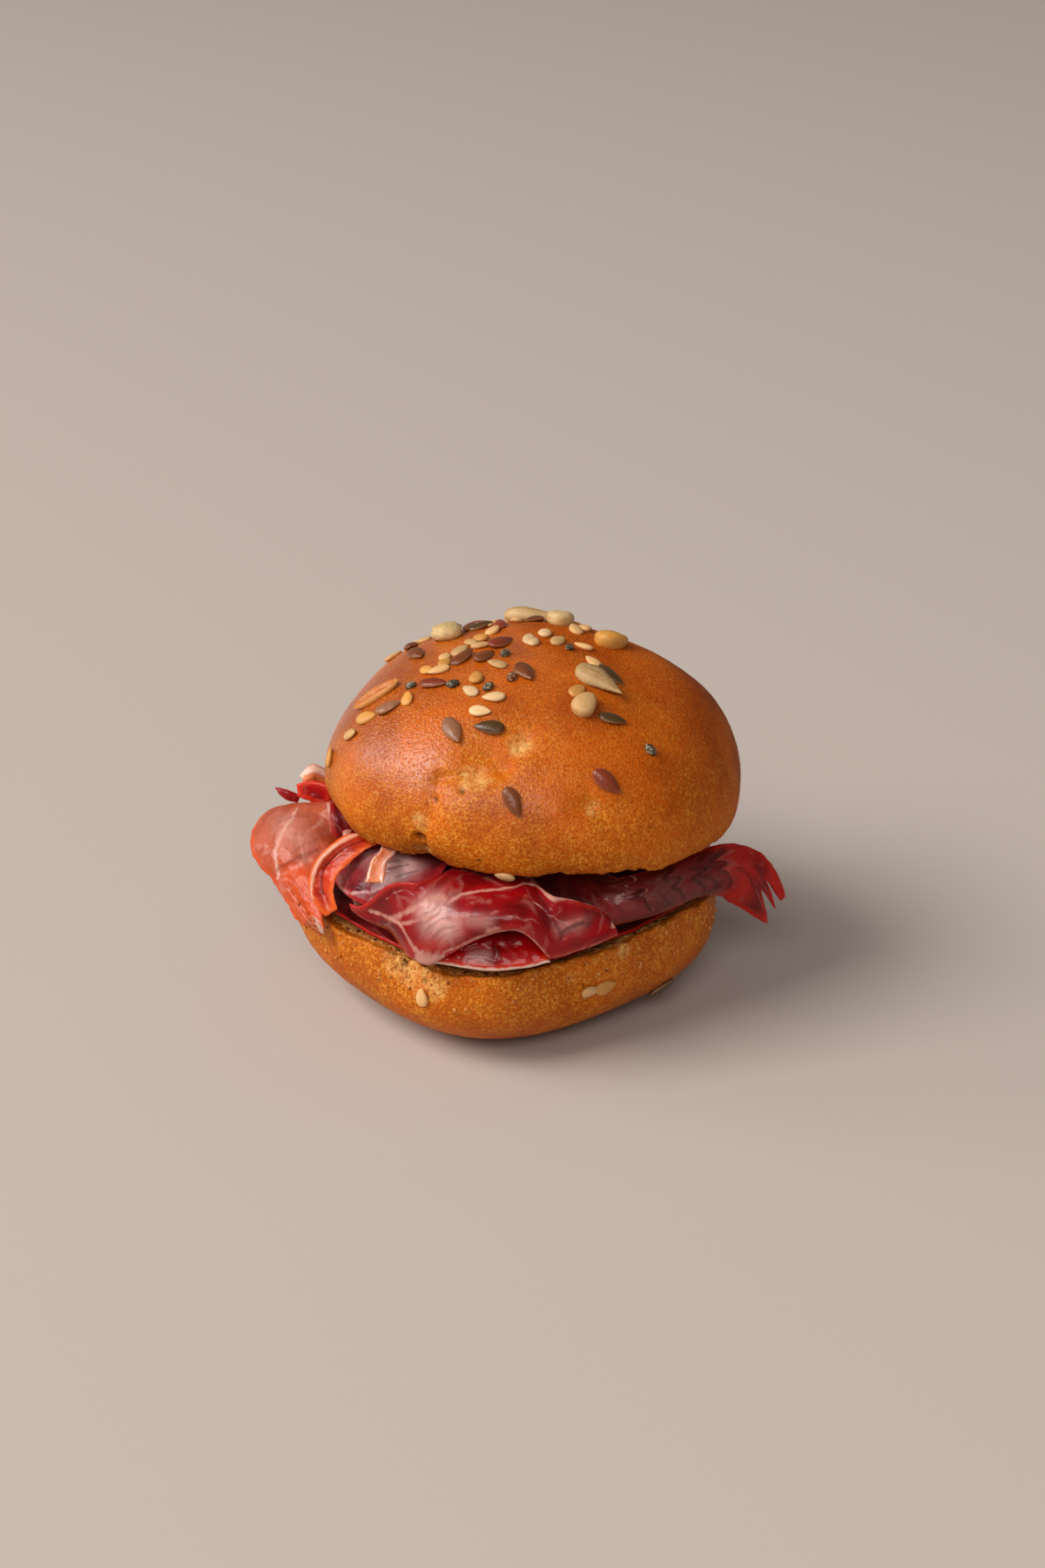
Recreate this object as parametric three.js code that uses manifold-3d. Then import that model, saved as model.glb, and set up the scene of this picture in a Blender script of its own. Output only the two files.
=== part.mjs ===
// A small brioche sandwich: a seeded roll cut in two, with folded slices of cured ham between its halves.
// Millimetres, +Z up. The origin is the middle of the flat foot that the roll rests on.
// The front faces -Y and the left side -X. Bearings turn from +X towards +Y, so the front is at -90 degrees.

import * as THREE from "three";
import { mergeVertices } from "three/addons/utils/BufferGeometryUtils.js";
import Module from "manifold-3d";

// ---- driving dimensions ----

// Each half of the roll is measured from the middle of its widest level. Swells and the ragged edge are lists
// of [crests round, share, bearing of one crest]. A crease runs between two [bearing, height angle] places, and
// one with a negative depth is a bulge. The cut rises at places given as [bearing, width, rise].
const CROWN = {
  centre: [4.4, 0.5, 35],
  halfWidth: 32.6,
  rise: 21, // up to the top
  depth: 14, // how fast the sides draw in below
  cut: -5.8, // height of the cut
  rises: [[-66, 22, 1.3]],
  fullness: 2.05, // 2 is an ellipse, and more is squarer
  swells: [[2, 0.012, 0], [3, 0.012, -40], [4, 0.008, 20]],
  creases: [
    { from: [-95, 31], to: [-106, 23], width: 4.5, depth: 0.9 },
    { from: [-106, 23], to: [-124, -10], width: 3.4, depth: 1 },
    { from: [-108, 14], to: [-115, 1], width: 3.6, depth: -0.7 },
    { from: [15, 66], to: [-32, 42], width: 6, depth: 0.9 },
    { from: [-75, 12], to: [-68, 9], width: 3, depth: 0.8 },
    { from: [120, 30], to: [95, 5], width: 4, depth: 1 },
    { from: [176, 18], to: [-176, -8], width: 10, depth: 1.3 },
    { from: [8, 32], to: [50, 56], width: 11.5, depth: -1.7 },
    { from: [124, 60], to: [158, 38], width: 9, depth: -1 },
  ],
  ragged: [[9, 0.011, 20], [14, 0.009, -70], [19, 0.006, 5]],
  tiltBack: 4.5,
  leanRight: 4,
  hollow: 0.7, // how far the crumb lies inside the crust's edge
};

const HEEL = {
  centre: [0, 0, 12.6],
  halfWidth: 32.6,
  rise: 22,
  depth: 14.4,
  cut: 4.8,
  rises: [[-108, 12, -0.5], [-40, 14, 0.5]],
  fullness: 2.3,
  swells: [[1, 0.02, 180], [4, 0.045, -97], [2, 0.012, 0], [3, 0.008, 30]],
  creases: [
    { from: [-178, -14], to: [-134, -36], width: 10, depth: 2.8 },
    { from: [-104, -35], to: [-92, -30], width: 3, depth: 0.8 },
    { from: [-72, 2], to: [-66, -4], width: 4, depth: 0.8 },
    { from: [-124, 14], to: [-116, 8], width: 3, depth: 1.2 },
  ],
  ragged: [[8, 0.012, 40], [13, 0.011, -120], [20, 0.006, 0]],
  hollow: 0.8,
};

const HAM = 0.9; // thickness of a slice
const GAP = 0.35; // between pieces that rest on each other

const ROUND_STEPS = 54;
const CROWN_RINGS = 15;
const HEEL_RINGS = 10;

// Length, width and thickness of each kind of seed, and how much it narrows to a point.
const SEED_KINDS = {
  sunflower: { size: [9.8, 5, 2.8], point: 0.35, round: 7, along: 5 },
  kernel: { size: [5.2, 4.2, 2.8], point: 0.15, round: 6, along: 4 },
  oat: { size: [8.4, 3, 1.6], point: 0.1, round: 6, along: 4 },
  flax: { size: [4.8, 2.6, 1.4], point: 0.35, round: 6, along: 4 },
  sesame: { size: [3.3, 2.1, 1.2], point: 0.35, round: 5, along: 4 },
  chia: { size: [2, 1.5, 1.3], point: 0.1, round: 5, along: 4 },
};

// Seeds that show from the front, each as [bearing, height angle, turn from pointing straight down the crust].
const CROWN_SEEDS = {
  sunflower: [[149, 49, -60], [92, 54, -100], [-50, 54, 10]],
  kernel: [[74, 60, -20], [25, 59, 0], [-69, 43, 140]],
  oat: [[-164, 28, 165]],
  flax: [
    [176, 43, 115], [123, 49, -120], [136, 58, -110], [-177, 74, -135], [-159, 57, -155], [-150, 64, -160],
    [-103, 62, 35], [-146, 42, 125], [-109, 33, -80], [-121, 29, 50], [-151, 28, 160], [93, 50, 0],
    [-33, 56, 0], [-59, 37, 60], [-69, 18, 45], [-96, 12, 30],
  ],
  sesame: [
    [117, 52, 170], [128, 44, 65], [113, 46, -115], [108, 60, -10], [145, 67, -85], [175, 62, -55],
    [-171, 58, -135], [-175, 66, -175], [-161, 51, -125], [-155, 47, -10], [-161, 44, -80], [-130, 63, -75],
    [-131, 52, -140], [-126, 45, -100], [-113, 45, -70], [-115, 38, 105], [-148, 33, -130], [-156, 22, 135],
    [-157, 16, 120], [158, 31, -135], [151, 36, -130], [139, 40, -125], [80, 80, 0], [157, 85, -70],
    [68, 52, -85], [55, 66, 50], [12, 72, 135], [-26, 66, 165], [-68, 51, 130], [-97, -11, -95],
    [-163, 7, -155],
  ],
  chia: [
    [-140, 71, 25], [-110, 57, 0], [-154, 37, 155], [-137, 45, 155], [-119, 49, 160], [-8, 78, 65],
    [-51, 25, 20],
  ],
};

const STREWN = 14; // seeds on the far side
const SEED_LIFT = 0.18; // how far a seed's middle stands above the crust, as a share of its thickness

const HEEL_SEEDS = {
  flax: [[-32, -13, 115]],
  sesame: [[-111, 0, 180], [-64, -2, 90], [-59, -2, 100]],
};

// ---- small helpers ----

const rad = THREE.MathUtils.degToRad;
const { cos, sin, tan, atan2, PI, abs, sqrt, pow, exp, min, max } = Math;
const mix = (a, b, t) => a + (b - a) * t;
const step = (a, b, x) => THREE.MathUtils.smoothstep(x, a, b);
const vector = (x, y, z) => new THREE.Vector3(x, y, z);

// A point at a distance from the origin's upright axis, towards a bearing in degrees.
function around(reach, bearing, height) {
  return vector(reach * cos(rad(bearing)), reach * sin(rad(bearing)), height);
}

// ---- the roll ----

// The sum of waves round the roll, each given as [crests round, share, bearing of one crest].
function waves(list, bearing) {
  return list.reduce((sum, [count, share, at]) => sum + share * cos(count * (bearing - rad(at))), 0);
}

// A point of the smooth crust, towards a bearing and a height angle in radians.
function smoothCrust(half, bearing, height) {
  const across = cos(height) / (half.halfWidth * (1 + waves(half.swells, bearing)));
  const upright = abs(sin(height)) / (height >= 0 ? half.rise : half.depth);
  const reach = pow(pow(across, half.fullness) + pow(upright, half.fullness), -1 / half.fullness);
  return vector(cos(height) * cos(bearing), cos(height) * sin(bearing), sin(height)).multiplyScalar(reach);
}

// The crust with its creases pressed in.
function crustPoint(half, bearing, height) {
  const p = smoothCrust(half, bearing, height);
  let pressed = 0;
  for (const crease of half.creases) {
    const [from, to] = [crease.from, crease.to].map(([b, h]) => smoothCrust(half, rad(b), rad(h)));
    const away = new THREE.Line3(from, to).closestPointToPoint(p, true, vector()).distanceTo(p);
    pressed += crease.depth * exp(-pow(away / crease.width, 2));
  }
  return p.setLength(p.length() - pressed);
}

// The height angle at which the crust meets the cut.
function rimAngle(half, bearing) {
  const rises = half.rises.map(([at, width, rise]) => {
    return rise * exp(-pow(atan2(sin(bearing - rad(at)), cos(bearing - rad(at))) / rad(width), 2));
  });
  const cut = rises.reduce((sum, rise) => sum + rise, half.cut);
  let low = -PI / 2, high = PI / 2;
  for (let i = 0; i < 30; i++) {
    const middle = (low + high) / 2;
    if (smoothCrust(half, bearing, middle).z < cut) low = middle;
    else high = middle;
  }
  return (low + high) / 2;
}

// A closed mesh from rings of points, with one point at each end. The rings may have different counts.
function closedFromRings(first, rings, last) {
  const all = [[first], ...rings, [last]];
  const index = [];
  let start = 0;
  for (let r = 0; r + 1 < all.length; r++) {
    const [n, m] = [all[r].length, all[r + 1].length];
    const other = start + n;
    const [stepsA, stepsB] = [n === 1 ? 0 : n, m === 1 ? 0 : m];
    for (let i = 0, j = 0; i < stepsA || j < stepsB;) {
      const [a, b] = [start + (i % n), other + (j % m)];
      const takeB = i === stepsA || (j < stepsB && (j + 1) * n <= (i + 1) * m);
      if (takeB) index.push(a, b, other + (++j % m));
      else index.push(a, b, start + (++i % n));
    }
    start = other;
  }
  return new THREE.BufferGeometry().setFromPoints(all.flat()).setIndex(index);
}

function rollHalf(half, ringCount, top) {
  const pole = top ? PI / 2 : -PI / 2;
  const floor = -half.centre[2];
  const rings = [];
  for (let r = 1; r <= ringCount; r++) {
    const share = r / ringCount;
    const steps = min(ROUND_STEPS, 6 * r + 2);
    rings.push(Array.from({ length: steps }, (_, i) => {
      const b = ((top ? 2 : -2) * PI * i) / steps;
      const p = crustPoint(half, b, mix(pole, rimAngle(half, b), pow(share, 0.9)));
      const tear = 1 + pow(share, 12) * waves(half.ragged, b);
      p.set(p.x * tear, p.y * tear, p.z);
      return !top && p.z < floor ? p.multiplyScalar(floor / p.z) : p;
    }));
  }
  const rim = rings[rings.length - 1];
  const crumb = half.cut + (top ? half.hollow : -half.hollow);
  for (const share of [0.93, 0.6]) {
    const inner = share < 0.9 ? rim.filter((_, i) => i % 2 === 0) : rim;
    const level = (p) => crumb + (p.z - half.cut) * pow(share, 4);
    rings.push(inner.map((p) => vector(p.x * share, p.y * share, level(p))));
  }
  return closedFromRings(vector(0, 0, top ? half.rise : floor), rings, vector(0, 0, crumb));
}

// ---- the seeds ----

// A seed with its point towards +X, lying on its flat side.
function seed({ size, point, round, along }) {
  const shape = new THREE.SphereGeometry(1, round, along).rotateZ(-PI / 2);
  const place = shape.attributes.position;
  for (let i = 0; i < place.count; i++) {
    const [x, y, z] = [place.getX(i), place.getY(i), place.getZ(i)];
    const narrow = 1 - point * x;
    place.setXYZ(i, (x * size[0]) / 2, (y * narrow * size[1]) / 2, (z * narrow * size[2]) / 2);
  }
  return shape;
}

// Turns a seed and moves it onto the crust.
function onCrust(half, bearing, height, turn, lift) {
  const near = 1e-3;
  const at = (b, h) => crustPoint(half, rad(bearing) + b, rad(height) + h);
  const round = at(near, 0).sub(at(-near, 0));
  const down = at(0, -near).sub(at(0, near)).normalize();
  const out = down.clone().cross(round).normalize();
  const aside = out.clone().cross(down);
  const ahead = down.clone().multiplyScalar(cos(rad(turn))).addScaledVector(aside, sin(rad(turn)));
  const place = new THREE.Matrix4().makeBasis(ahead, out.clone().cross(ahead), out);
  return place.setPosition(at(0, 0).addScaledVector(out, lift));
}

const wasm = await Module();
wasm.setup();

function toSolid(geometry) {
  const merged = mergeVertices(geometry.deleteAttribute("normal").deleteAttribute("uv"), 1e-4);
  const vertProperties = new Float32Array(merged.attributes.position.array);
  const triVerts = new Uint32Array(merged.index.array);
  return new wasm.Manifold(new wasm.Mesh({ numProp: 3, vertProperties, triVerts }));
}

function fromSolid(solid) {
  const { vertProperties, triVerts } = solid.getMesh();
  const geometry = new THREE.BufferGeometry();
  geometry.setAttribute("position", new THREE.BufferAttribute(vertProperties, 3));
  return geometry.setIndex([...triVerts]);
}

// Seeds strewn over the far side of the crown, where they thin out away from the top.
function strewnSeeds() {
  let state = 41;
  const draw = (a, b) => {
    state = (1664525 * state + 1013904223) % 4294967296;
    return mix(a, b, state / 4294967296);
  };
  const places = { flax: [], sesame: [] };
  for (let i = 0; i < STREWN; i++) {
    const kind = i % 3 === 0 ? "flax" : "sesame";
    places[kind].push([draw(70, 165), draw(25, 58), draw(-180, 180)]);
  }
  return places;
}

// The roll half with its seeds joined to it.
function seeded(half, core, ...seedLists) {
  let solid = toSolid(core);
  for (const [kind, places] of seedLists.flatMap(Object.entries)) {
    const lift = SEED_LIFT * SEED_KINDS[kind].size[2];
    for (const [bearing, height, turn] of places) {
      const placed = seed(SEED_KINDS[kind]).applyMatrix4(onCrust(half, bearing, height, turn, lift));
      solid = solid.add(toSolid(placed));
    }
  }
  const pieces = solid.decompose();
  return fromSolid(pieces.reduce((a, b) => (a.volume() > b.volume() ? a : b)));
}

// ---- the ham ----

// A thin slice from a rule that gives the middle of the sheet at (u, v), each from 0 to 1.
function slice(place, stepsU, stepsV) {
  const near = 1e-3;
  const front = [], back = [];
  for (let i = 0; i <= stepsU; i++) {
    for (let j = 0; j <= stepsV; j++) {
      const u = i / stepsU, v = j / stepsV;
      const alongU = place(min(u + near, 1), v).sub(place(max(u - near, 0), v));
      const alongV = place(u, min(v + near, 1)).sub(place(u, max(v - near, 0)));
      const half = alongU.cross(alongV).normalize().multiplyScalar(HAM / 2);
      front.push(place(u, v).add(half));
      back.push(place(u, v).sub(half));
    }
  }
  const wide = stepsV + 1, other = front.length;
  const index = [];
  const quad = (a, b, c, d) => index.push(a, b, c, a, c, d);
  for (let i = 0; i < stepsU; i++) {
    for (let j = 0; j < stepsV; j++) {
      const a = i * wide + j, b = a + wide;
      quad(a, b, b + 1, a + 1);
      index.push(other + a, other + b + 1, other + b, other + a, other + a + 1, other + b + 1);
    }
  }
  for (let i = 0; i < stepsU; i++) {
    const a = i * wide, b = a + wide, c = a + stepsV, d = b + stepsV;
    quad(a, other + a, other + b, b);
    quad(c, d, other + d, other + c);
  }
  for (let j = 0; j < stepsV; j++) {
    const a = j, b = stepsU * wide + j;
    quad(a, a + 1, other + a + 1, other + a);
    quad(b, other + b, other + b + 1, b + 1);
  }
  return new THREE.BufferGeometry().setFromPoints([...front, ...back]).setIndex(index);
}

// The smooth curve through a few numbers, read at t from 0 to 1.
function through(values, t) {
  const place = t * (values.length - 1);
  const i = min(Math.floor(place), values.length - 2);
  const p = (k) => values[min(max(k, 0), values.length - 1)];
  const s = place - i;
  const a = p(i - 1), b = p(i), c = p(i + 1), d = p(i + 2);
  return b + 0.5 * s * (c - a + s * (2 * a - 5 * b + 4 * c - d + s * (3 * (b - c) + d - a)));
}

// Height of the crown's cut over a place.
function crownCut(x, y) {
  const [cx, cy, cz] = CROWN.centre;
  return cz + CROWN.cut - (x - cx) * tan(rad(CROWN.leanRight)) - (y - cy) * tan(rad(CROWN.tiltBack));
}

const HEEL_FACE = HEEL.centre[2] + HEEL.cut - HEEL.hollow;

// A sheet that comes out of the sandwich and hangs. Its section passes through [reach, height] points.
function hanging(bearing, v, section) {
  const reach = through(section.map((p) => p[0]), v);
  const height = through(section.map((p) => p[1]), v);
  return around(reach, bearing, height);
}

// Highest that a sheet may lie under the crown's cut, at a reach and bearing.
function underCrown(reach, bearing) {
  const p = around(reach, bearing, 0);
  return crownCut(p.x, p.y) - GAP - HAM / 2;
}

// The lowest slice covers the heel's crumb, with its wavy edge just inside the crust.
function baseSlice(u, v) {
  const x = 2 * u - 1, y = 2 * v - 1;
  const bearing = atan2(y, x);
  const edge = 30.4 * (1 + waves(HEEL.swells, bearing) + 0.012 * sin(9 * bearing));
  const share = max(abs(x), abs(y));
  const flat = vector(x * sqrt(1 - y * y / 2), y * sqrt(1 - x * x / 2), 0).multiplyScalar(edge);
  flat.z = HEEL_FACE + GAP + HAM / 2 + 0.4 + 0.35 * share * sin(7 * bearing);
  return flat;
}

// The slice whose pale lip is the floor of the pocket at the front.
function pocketSlice(u, v) {
  const bearing = mix(-110, -80.5, u);
  const lip = 19.1 + 0.25 * sin(9 * u) + 0.7 * step(0.8, 1, u);
  return hanging(bearing, v, [[14, 19.2], [24, 20], [30.2, 23.2], [33, 21.6], [34.8, lip]]);
}

// The front slice hangs like a curtain. Its hem dips at two corners and arches between them over the pocket.
// Its left end is gathered to a corner, and its right end curves down over the rolled slice.
function frontSlice(u, v) {
  const bearing = mix(-134, -61, u);
  const fromArch = bearing + 88;
  const archShare = cos(min(1, abs(fromArch) / (fromArch < 0 ? 20 : 9.5)) * PI / 2);
  const ends = 2 * (1 - step(-136, -124, bearing)) + 0.9 * step(-88, -80, bearing);
  const hem = 19.2 + ends + 0.0022 * (bearing + 99) ** 2 + 6.8 * pow(archShare, 1.15);
  const open = sin(step(-136, -110, bearing) * PI / 2);
  const fallen = 1 - pow(1 - pow(max(0, (bearing + 82) / 21), 2), 0.7);
  const high = mix(hem + 0.8, underCrown(29, bearing) - 0.5, open * (1 - fallen));
  const tucked = step(-113, -103, bearing) * (1 - step(-84, -76, bearing));
  const out = mix(33.4, 36.2, step(-134, -106, bearing));
  const drawnIn = 4 * exp(-pow((bearing + 123) / 7.5, 2));
  return hanging(bearing, v, [
    [mix(33, 21, tucked), high - 0.8 * tucked],
    [mix(33.4, 29.5, tucked), high],
    [mix(33.4, out - 1.4, open), mix(hem, high, 0.72)],
    [out - 0.4 * drawnIn, mix(hem, high, 0.34)],
    [out - 0.3 - drawnIn, hem],
  ]);
}

// The glossy slice at the front left lies between the heel and the crown's edge.
function glossySlice(u, v) {
  const bearing = mix(-150, -113.5, u);
  const open = step(-0.6, 0.5, u);
  const lip = 24.6 + 0.4 * sin(8 * u);
  return hanging(bearing, v, [
    [12, 25],
    [23, mix(25.5, underCrown(23, bearing) - 2, open)],
    [mix(26.5, 28.5, open), mix(26, 29, open)],
    [mix(28.6, 31.7, open), mix(22, lip, open)],
  ]);
}

// The slice that fills the right side and the back is laid in ruffles, whose crests carry the crown.
function ruffledSlice(u, v) {
  const bearing = mix(-6, 156, u);
  const reach = mix(9, 33.4, v) + v * (0.7 * sin(29 * u) - 0.5);
  const low = HEEL_FACE + 2 * GAP + 1.5 * HAM + 0.8;
  const high = underCrown(reach, bearing) - 0.2;
  const wave = sin(2 * PI * 6.4 * u + 0.8 * sin(9 * u)) * step(0.1, 0.85, v);
  return around(reach, bearing, mix(low, high, 0.5 + 0.46 * wave));
}

// A ribbon along stations. Each gives the place, the way across, the width and the section's curl in degrees.
function ribbon(stations, u, v) {
  const read = (pick) => through(stations.map(pick), u);
  const place = (t) => vector(...[0, 1, 2].map((k) => through(stations.map((s) => s.at[k]), t)));
  const along = place(min(u + 1e-3, 1)).sub(place(max(u - 1e-3, 0))).normalize();
  const across = vector(...[0, 1, 2].map((k) => read((s) => s.across[k])));
  across.addScaledVector(along, -across.dot(along)).normalize();
  const out = across.clone().cross(along);
  const width = read((s) => s.width), curl = rad(max(read((s) => s.curl), 1));
  const turn = (v - 0.5) * curl, radius = width / curl;
  return place(u).addScaledVector(across, radius * sin(turn)).addScaledVector(out, radius * (cos(turn) - 1));
}

const LEFT_FOLD = [
  { at: [-26, 6, 27.6], across: [-1, 0, -0.1], width: 8, curl: 30 },
  { at: [-32.2, 1, 28], across: [-1, -0.1, 0], width: 14, curl: 80 },
  { at: [-33.4, -5.6, 27], across: [-0.95, 0.1, -0.05], width: 15.6, curl: 95 },
  { at: [-32, -11.2, 23.3], across: [-0.9, 0.25, -0.2], width: 10, curl: 95 },
  { at: [-30.2, -15.8, 19.8], across: [-0.85, 0.4, -0.3], width: 6.5, curl: 50 },
  { at: [-27.4, -19.8, 17], across: [-0.8, 0.5, -0.2], width: 2, curl: 20 },
];

const LEFT_RUFFLE = [
  { at: [-20.6, -15.6, 31], across: [1, -0.5, -0.3], width: 2.6, curl: 20 },
  { at: [-24, -16.4, 29.8], across: [1, -0.4, -0.3], width: 3.6, curl: 50 },
  { at: [-26.8, -16.8, 27], across: [1, -0.4, 0], width: 4.4, curl: 80 },
  { at: [-27.2, -18.2, 24], across: [1, -0.6, -0.1], width: 4.2, curl: 60 },
  { at: [-25, -20.6, 22], across: [0.8, -0.5, 0.3], width: 2.2, curl: 20 },
];

const RIGHT_ROLL = [
  { at: [-8, 4, 24.6], across: [0.3, -1, 0], width: 12, curl: 40 },
  { at: [7, -13, 25], across: [-0.4, -0.6, -0.5], width: 12.5, curl: 120 },
  { at: [15.4, -25.5, 25.8], across: [-0.2, -0.4, -0.9], width: 11.2, curl: 190 },
  { at: [24, -23.5, 25.6], across: [-0.1, -0.3, -0.9], width: 11, curl: 190 },
  { at: [32, -15, 24.6], across: [-0.1, -0.3, -0.9], width: 10.6, curl: 170 },
  { at: [36.6, -10.2, 22.8], across: [-0.3, -0.3, -0.9], width: 10.4, curl: 100 },
  { at: [39.3, -9, 19.8], across: [-0.6, -0.2, -0.7], width: 9.6, curl: 50 },
  { at: [42.8, -7.8, 13.2], across: [-0.85, -0.2, -0.5], width: 6.4, curl: 20 },
];

// The rolled slice opens to a fan that is torn into two tips.
function rightSlice(u, v) {
  const torn = 0.05 * (1 - step(0.2, 0.5, v)) + 0.2 * exp(-pow((v - 0.3) / 0.09, 2)) + 0.1 * step(0.6, 1, v);
  return ribbon(RIGHT_ROLL, u * (1 - torn * step(0.6, 1, u)), v);
}

const PALE_STRIP = [
  { at: [-17.2, -20, 31.3], across: [1, -0.6, 0], width: 3, curl: 20 },
  { at: [-18.4, -24.4, 31.6], across: [1, -0.5, 0], width: 3.3, curl: 40 },
  { at: [-19, -27.4, 29.8], across: [1, -0.5, 0], width: 3.4, curl: 40 },
];

const PEAK = [
  { at: [-33, 7, 29.6], across: [0, 0.3, 1], width: 2.2, curl: 10 },
  { at: [-30.5, 6.4, 29.9], across: [0, 0.3, 1], width: 2.7, curl: 20 },
  { at: [-27.5, 6, 29], across: [0, 0.3, 1], width: 2, curl: 20 },
];

const SLIVER = [
  { at: [-36.4, 8.4, 28.6], across: [0.3, 0.3, 1], width: 1.2, curl: 10 },
  { at: [-34.8, 7.4, 28.2], across: [0.3, 0.3, 1], width: 1.8, curl: 10 },
  { at: [-32.6, 7.4, 27.2], across: [0.3, 0.3, 1], width: 1.4, curl: 10 },
];

const PALE_CURL = [
  { at: [-27.5, 11.5, 28.6], across: [0.2, 1, 0.4], width: 3, curl: 30 },
  { at: [-30.4, 11, 30.6], across: [0.2, 1, 0.6], width: 3.6, curl: 90 },
  { at: [-32.6, 10.4, 29.6], across: [0.2, 1, 0.6], width: 3, curl: 90 },
];

// ---- the pieces ----

const group = new THREE.Group();

function addMesh(name, geometry, colour, roughness) {
  const material = new THREE.MeshStandardMaterial({ color: colour, roughness, metalness: 0 });
  const mesh = new THREE.Mesh(geometry, material);
  mesh.name = name;
  group.add(mesh);
  return mesh;
}

const crownShape = seeded(CROWN, rollHalf(CROWN, CROWN_RINGS, true), CROWN_SEEDS, strewnSeeds());
const crown = addMesh("crown", crownShape, "#b8681f", 0.5);
crown.position.set(...CROWN.centre);
crown.rotation.set(-rad(CROWN.tiltBack), rad(CROWN.leanRight), 0);
const heel = addMesh("heel", seeded(HEEL, rollHalf(HEEL, HEEL_RINGS, false), HEEL_SEEDS), "#b8681f", 0.6);
heel.position.set(...HEEL.centre);

addMesh("ham_base", slice(baseSlice, 10, 10), "#7a2a24", 0.4);
addMesh("ham_pocket", slice(pocketSlice, 8, 8), "#b0302a", 0.35);
addMesh("ham_front", slice(frontSlice, 26, 9), "#a8222c", 0.35);
addMesh("ham_glossy", slice(glossySlice, 8, 7), "#7a1620", 0.3);
addMesh("ham_ruffled", slice(ruffledSlice, 50, 5), "#8e2a26", 0.35);
addMesh("ham_left", slice((u, v) => ribbon(LEFT_FOLD, u, v), 14, 8), "#d67652", 0.4);
addMesh("ham_ruffle", slice((u, v) => ribbon(LEFT_RUFFLE, u, v), 12, 4), "#d8502a", 0.4);
addMesh("ham_right", slice(rightSlice, 24, 10), "#6c322b", 0.4);
addMesh("ham_strip", slice((u, v) => ribbon(PALE_STRIP, u, v), 5, 3), "#d8906c", 0.4);
addMesh("ham_peak", slice((u, v) => ribbon(PEAK, u, v), 4, 3), "#8c1410", 0.4);
addMesh("ham_sliver", slice((u, v) => ribbon(SLIVER, u, v), 4, 2), "#7c3a40", 0.45);
addMesh("ham_curl", slice((u, v) => ribbon(PALE_CURL, u, v), 4, 3), "#dba68c", 0.5);

export default group;
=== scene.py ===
"""A small brioche sandwich with cured ham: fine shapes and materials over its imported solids.

The rules are in millimetres and degrees, and Blender gets metres. The front faces -Y and the left side -X.
Bearings turn from +X towards +Y, so the front is at -90 degrees.
"""

import bpy
import numpy as np
from mathutils import Matrix, Vector


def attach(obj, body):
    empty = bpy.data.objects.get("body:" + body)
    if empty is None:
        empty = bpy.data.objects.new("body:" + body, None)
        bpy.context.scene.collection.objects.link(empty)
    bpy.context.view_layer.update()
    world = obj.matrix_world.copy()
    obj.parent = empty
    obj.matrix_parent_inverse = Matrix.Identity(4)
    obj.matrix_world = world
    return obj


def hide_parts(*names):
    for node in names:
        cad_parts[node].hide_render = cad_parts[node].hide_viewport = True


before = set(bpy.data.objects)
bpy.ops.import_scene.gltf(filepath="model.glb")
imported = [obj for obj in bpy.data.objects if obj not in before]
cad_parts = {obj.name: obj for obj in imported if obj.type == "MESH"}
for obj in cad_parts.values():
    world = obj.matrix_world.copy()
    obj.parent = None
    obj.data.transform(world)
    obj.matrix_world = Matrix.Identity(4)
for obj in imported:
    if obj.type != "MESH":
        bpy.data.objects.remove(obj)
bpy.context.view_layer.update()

MM = 0.001

# ---- small helpers ----


def mix(a, b, t):
    return a + (b - a) * t


def step(a, b, x):
    """Smoothly from 0 at a to 1 at b."""
    t = np.clip((x - a) / (b - a), 0, 1)
    return t * t * (3 - 2 * t)


def bell(x):
    return np.exp(-x * x)


def vector(x, y, z):
    return np.stack(np.broadcast_arrays(x, y, z), -1).astype(float)


def unit(v):
    return v / np.maximum(np.linalg.norm(v, axis=-1, keepdims=True), 1e-12)


def around(reach, bearing, height):
    """A point at a distance from the origin's upright axis, towards a bearing in degrees."""
    turn = np.radians(bearing)
    return vector(reach * np.cos(turn), reach * np.sin(turn), height)


LATTICE_TURN = np.array([[0.36, 0.48, -0.8], [-0.8, 0.6, 0], [0.48, 0.64, 0.6]])
LATTICE_KEY = np.array([73856093, 19349663, 83492791])  # primes that mix a cell's three numbers into one


def noise(points, size, seed=0):
    """Smooth random lumps of a size, from about -1 to 1. Two lattices, turned apart, hide each other."""
    total = np.zeros(points.shape[:-1])
    for turn in (LATTICE_TURN, LATTICE_TURN @ LATTICE_TURN):
        cell = points @ turn / size + 31.7 * seed
        base = np.floor(cell).astype(np.int64)
        part = cell - base
        part = part * part * (3 - 2 * part)
        for corner in np.ndindex(2, 2, 2):
            key = (base + corner) @ LATTICE_KEY + 7919 * seed
            key = (key ^ (key >> 13)) * 1274126177
            value = ((key ^ (key >> 16)) & 65535) / 32767.5 - 1
            weight = np.prod(np.where(np.array(corner) == 1, part, 1 - part), axis=-1)
            total += 0.65 * weight * value
    return total


def to_segment(points, a, b):
    """Distance of points from the line between a and b."""
    a, b = np.asarray(a, float), np.asarray(b, float)
    along = b - a
    t = np.clip((points - a) @ along / max(along @ along, 1e-9), 0, 1)
    return np.linalg.norm(points - a - t[..., None] * along, axis=-1)


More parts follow.
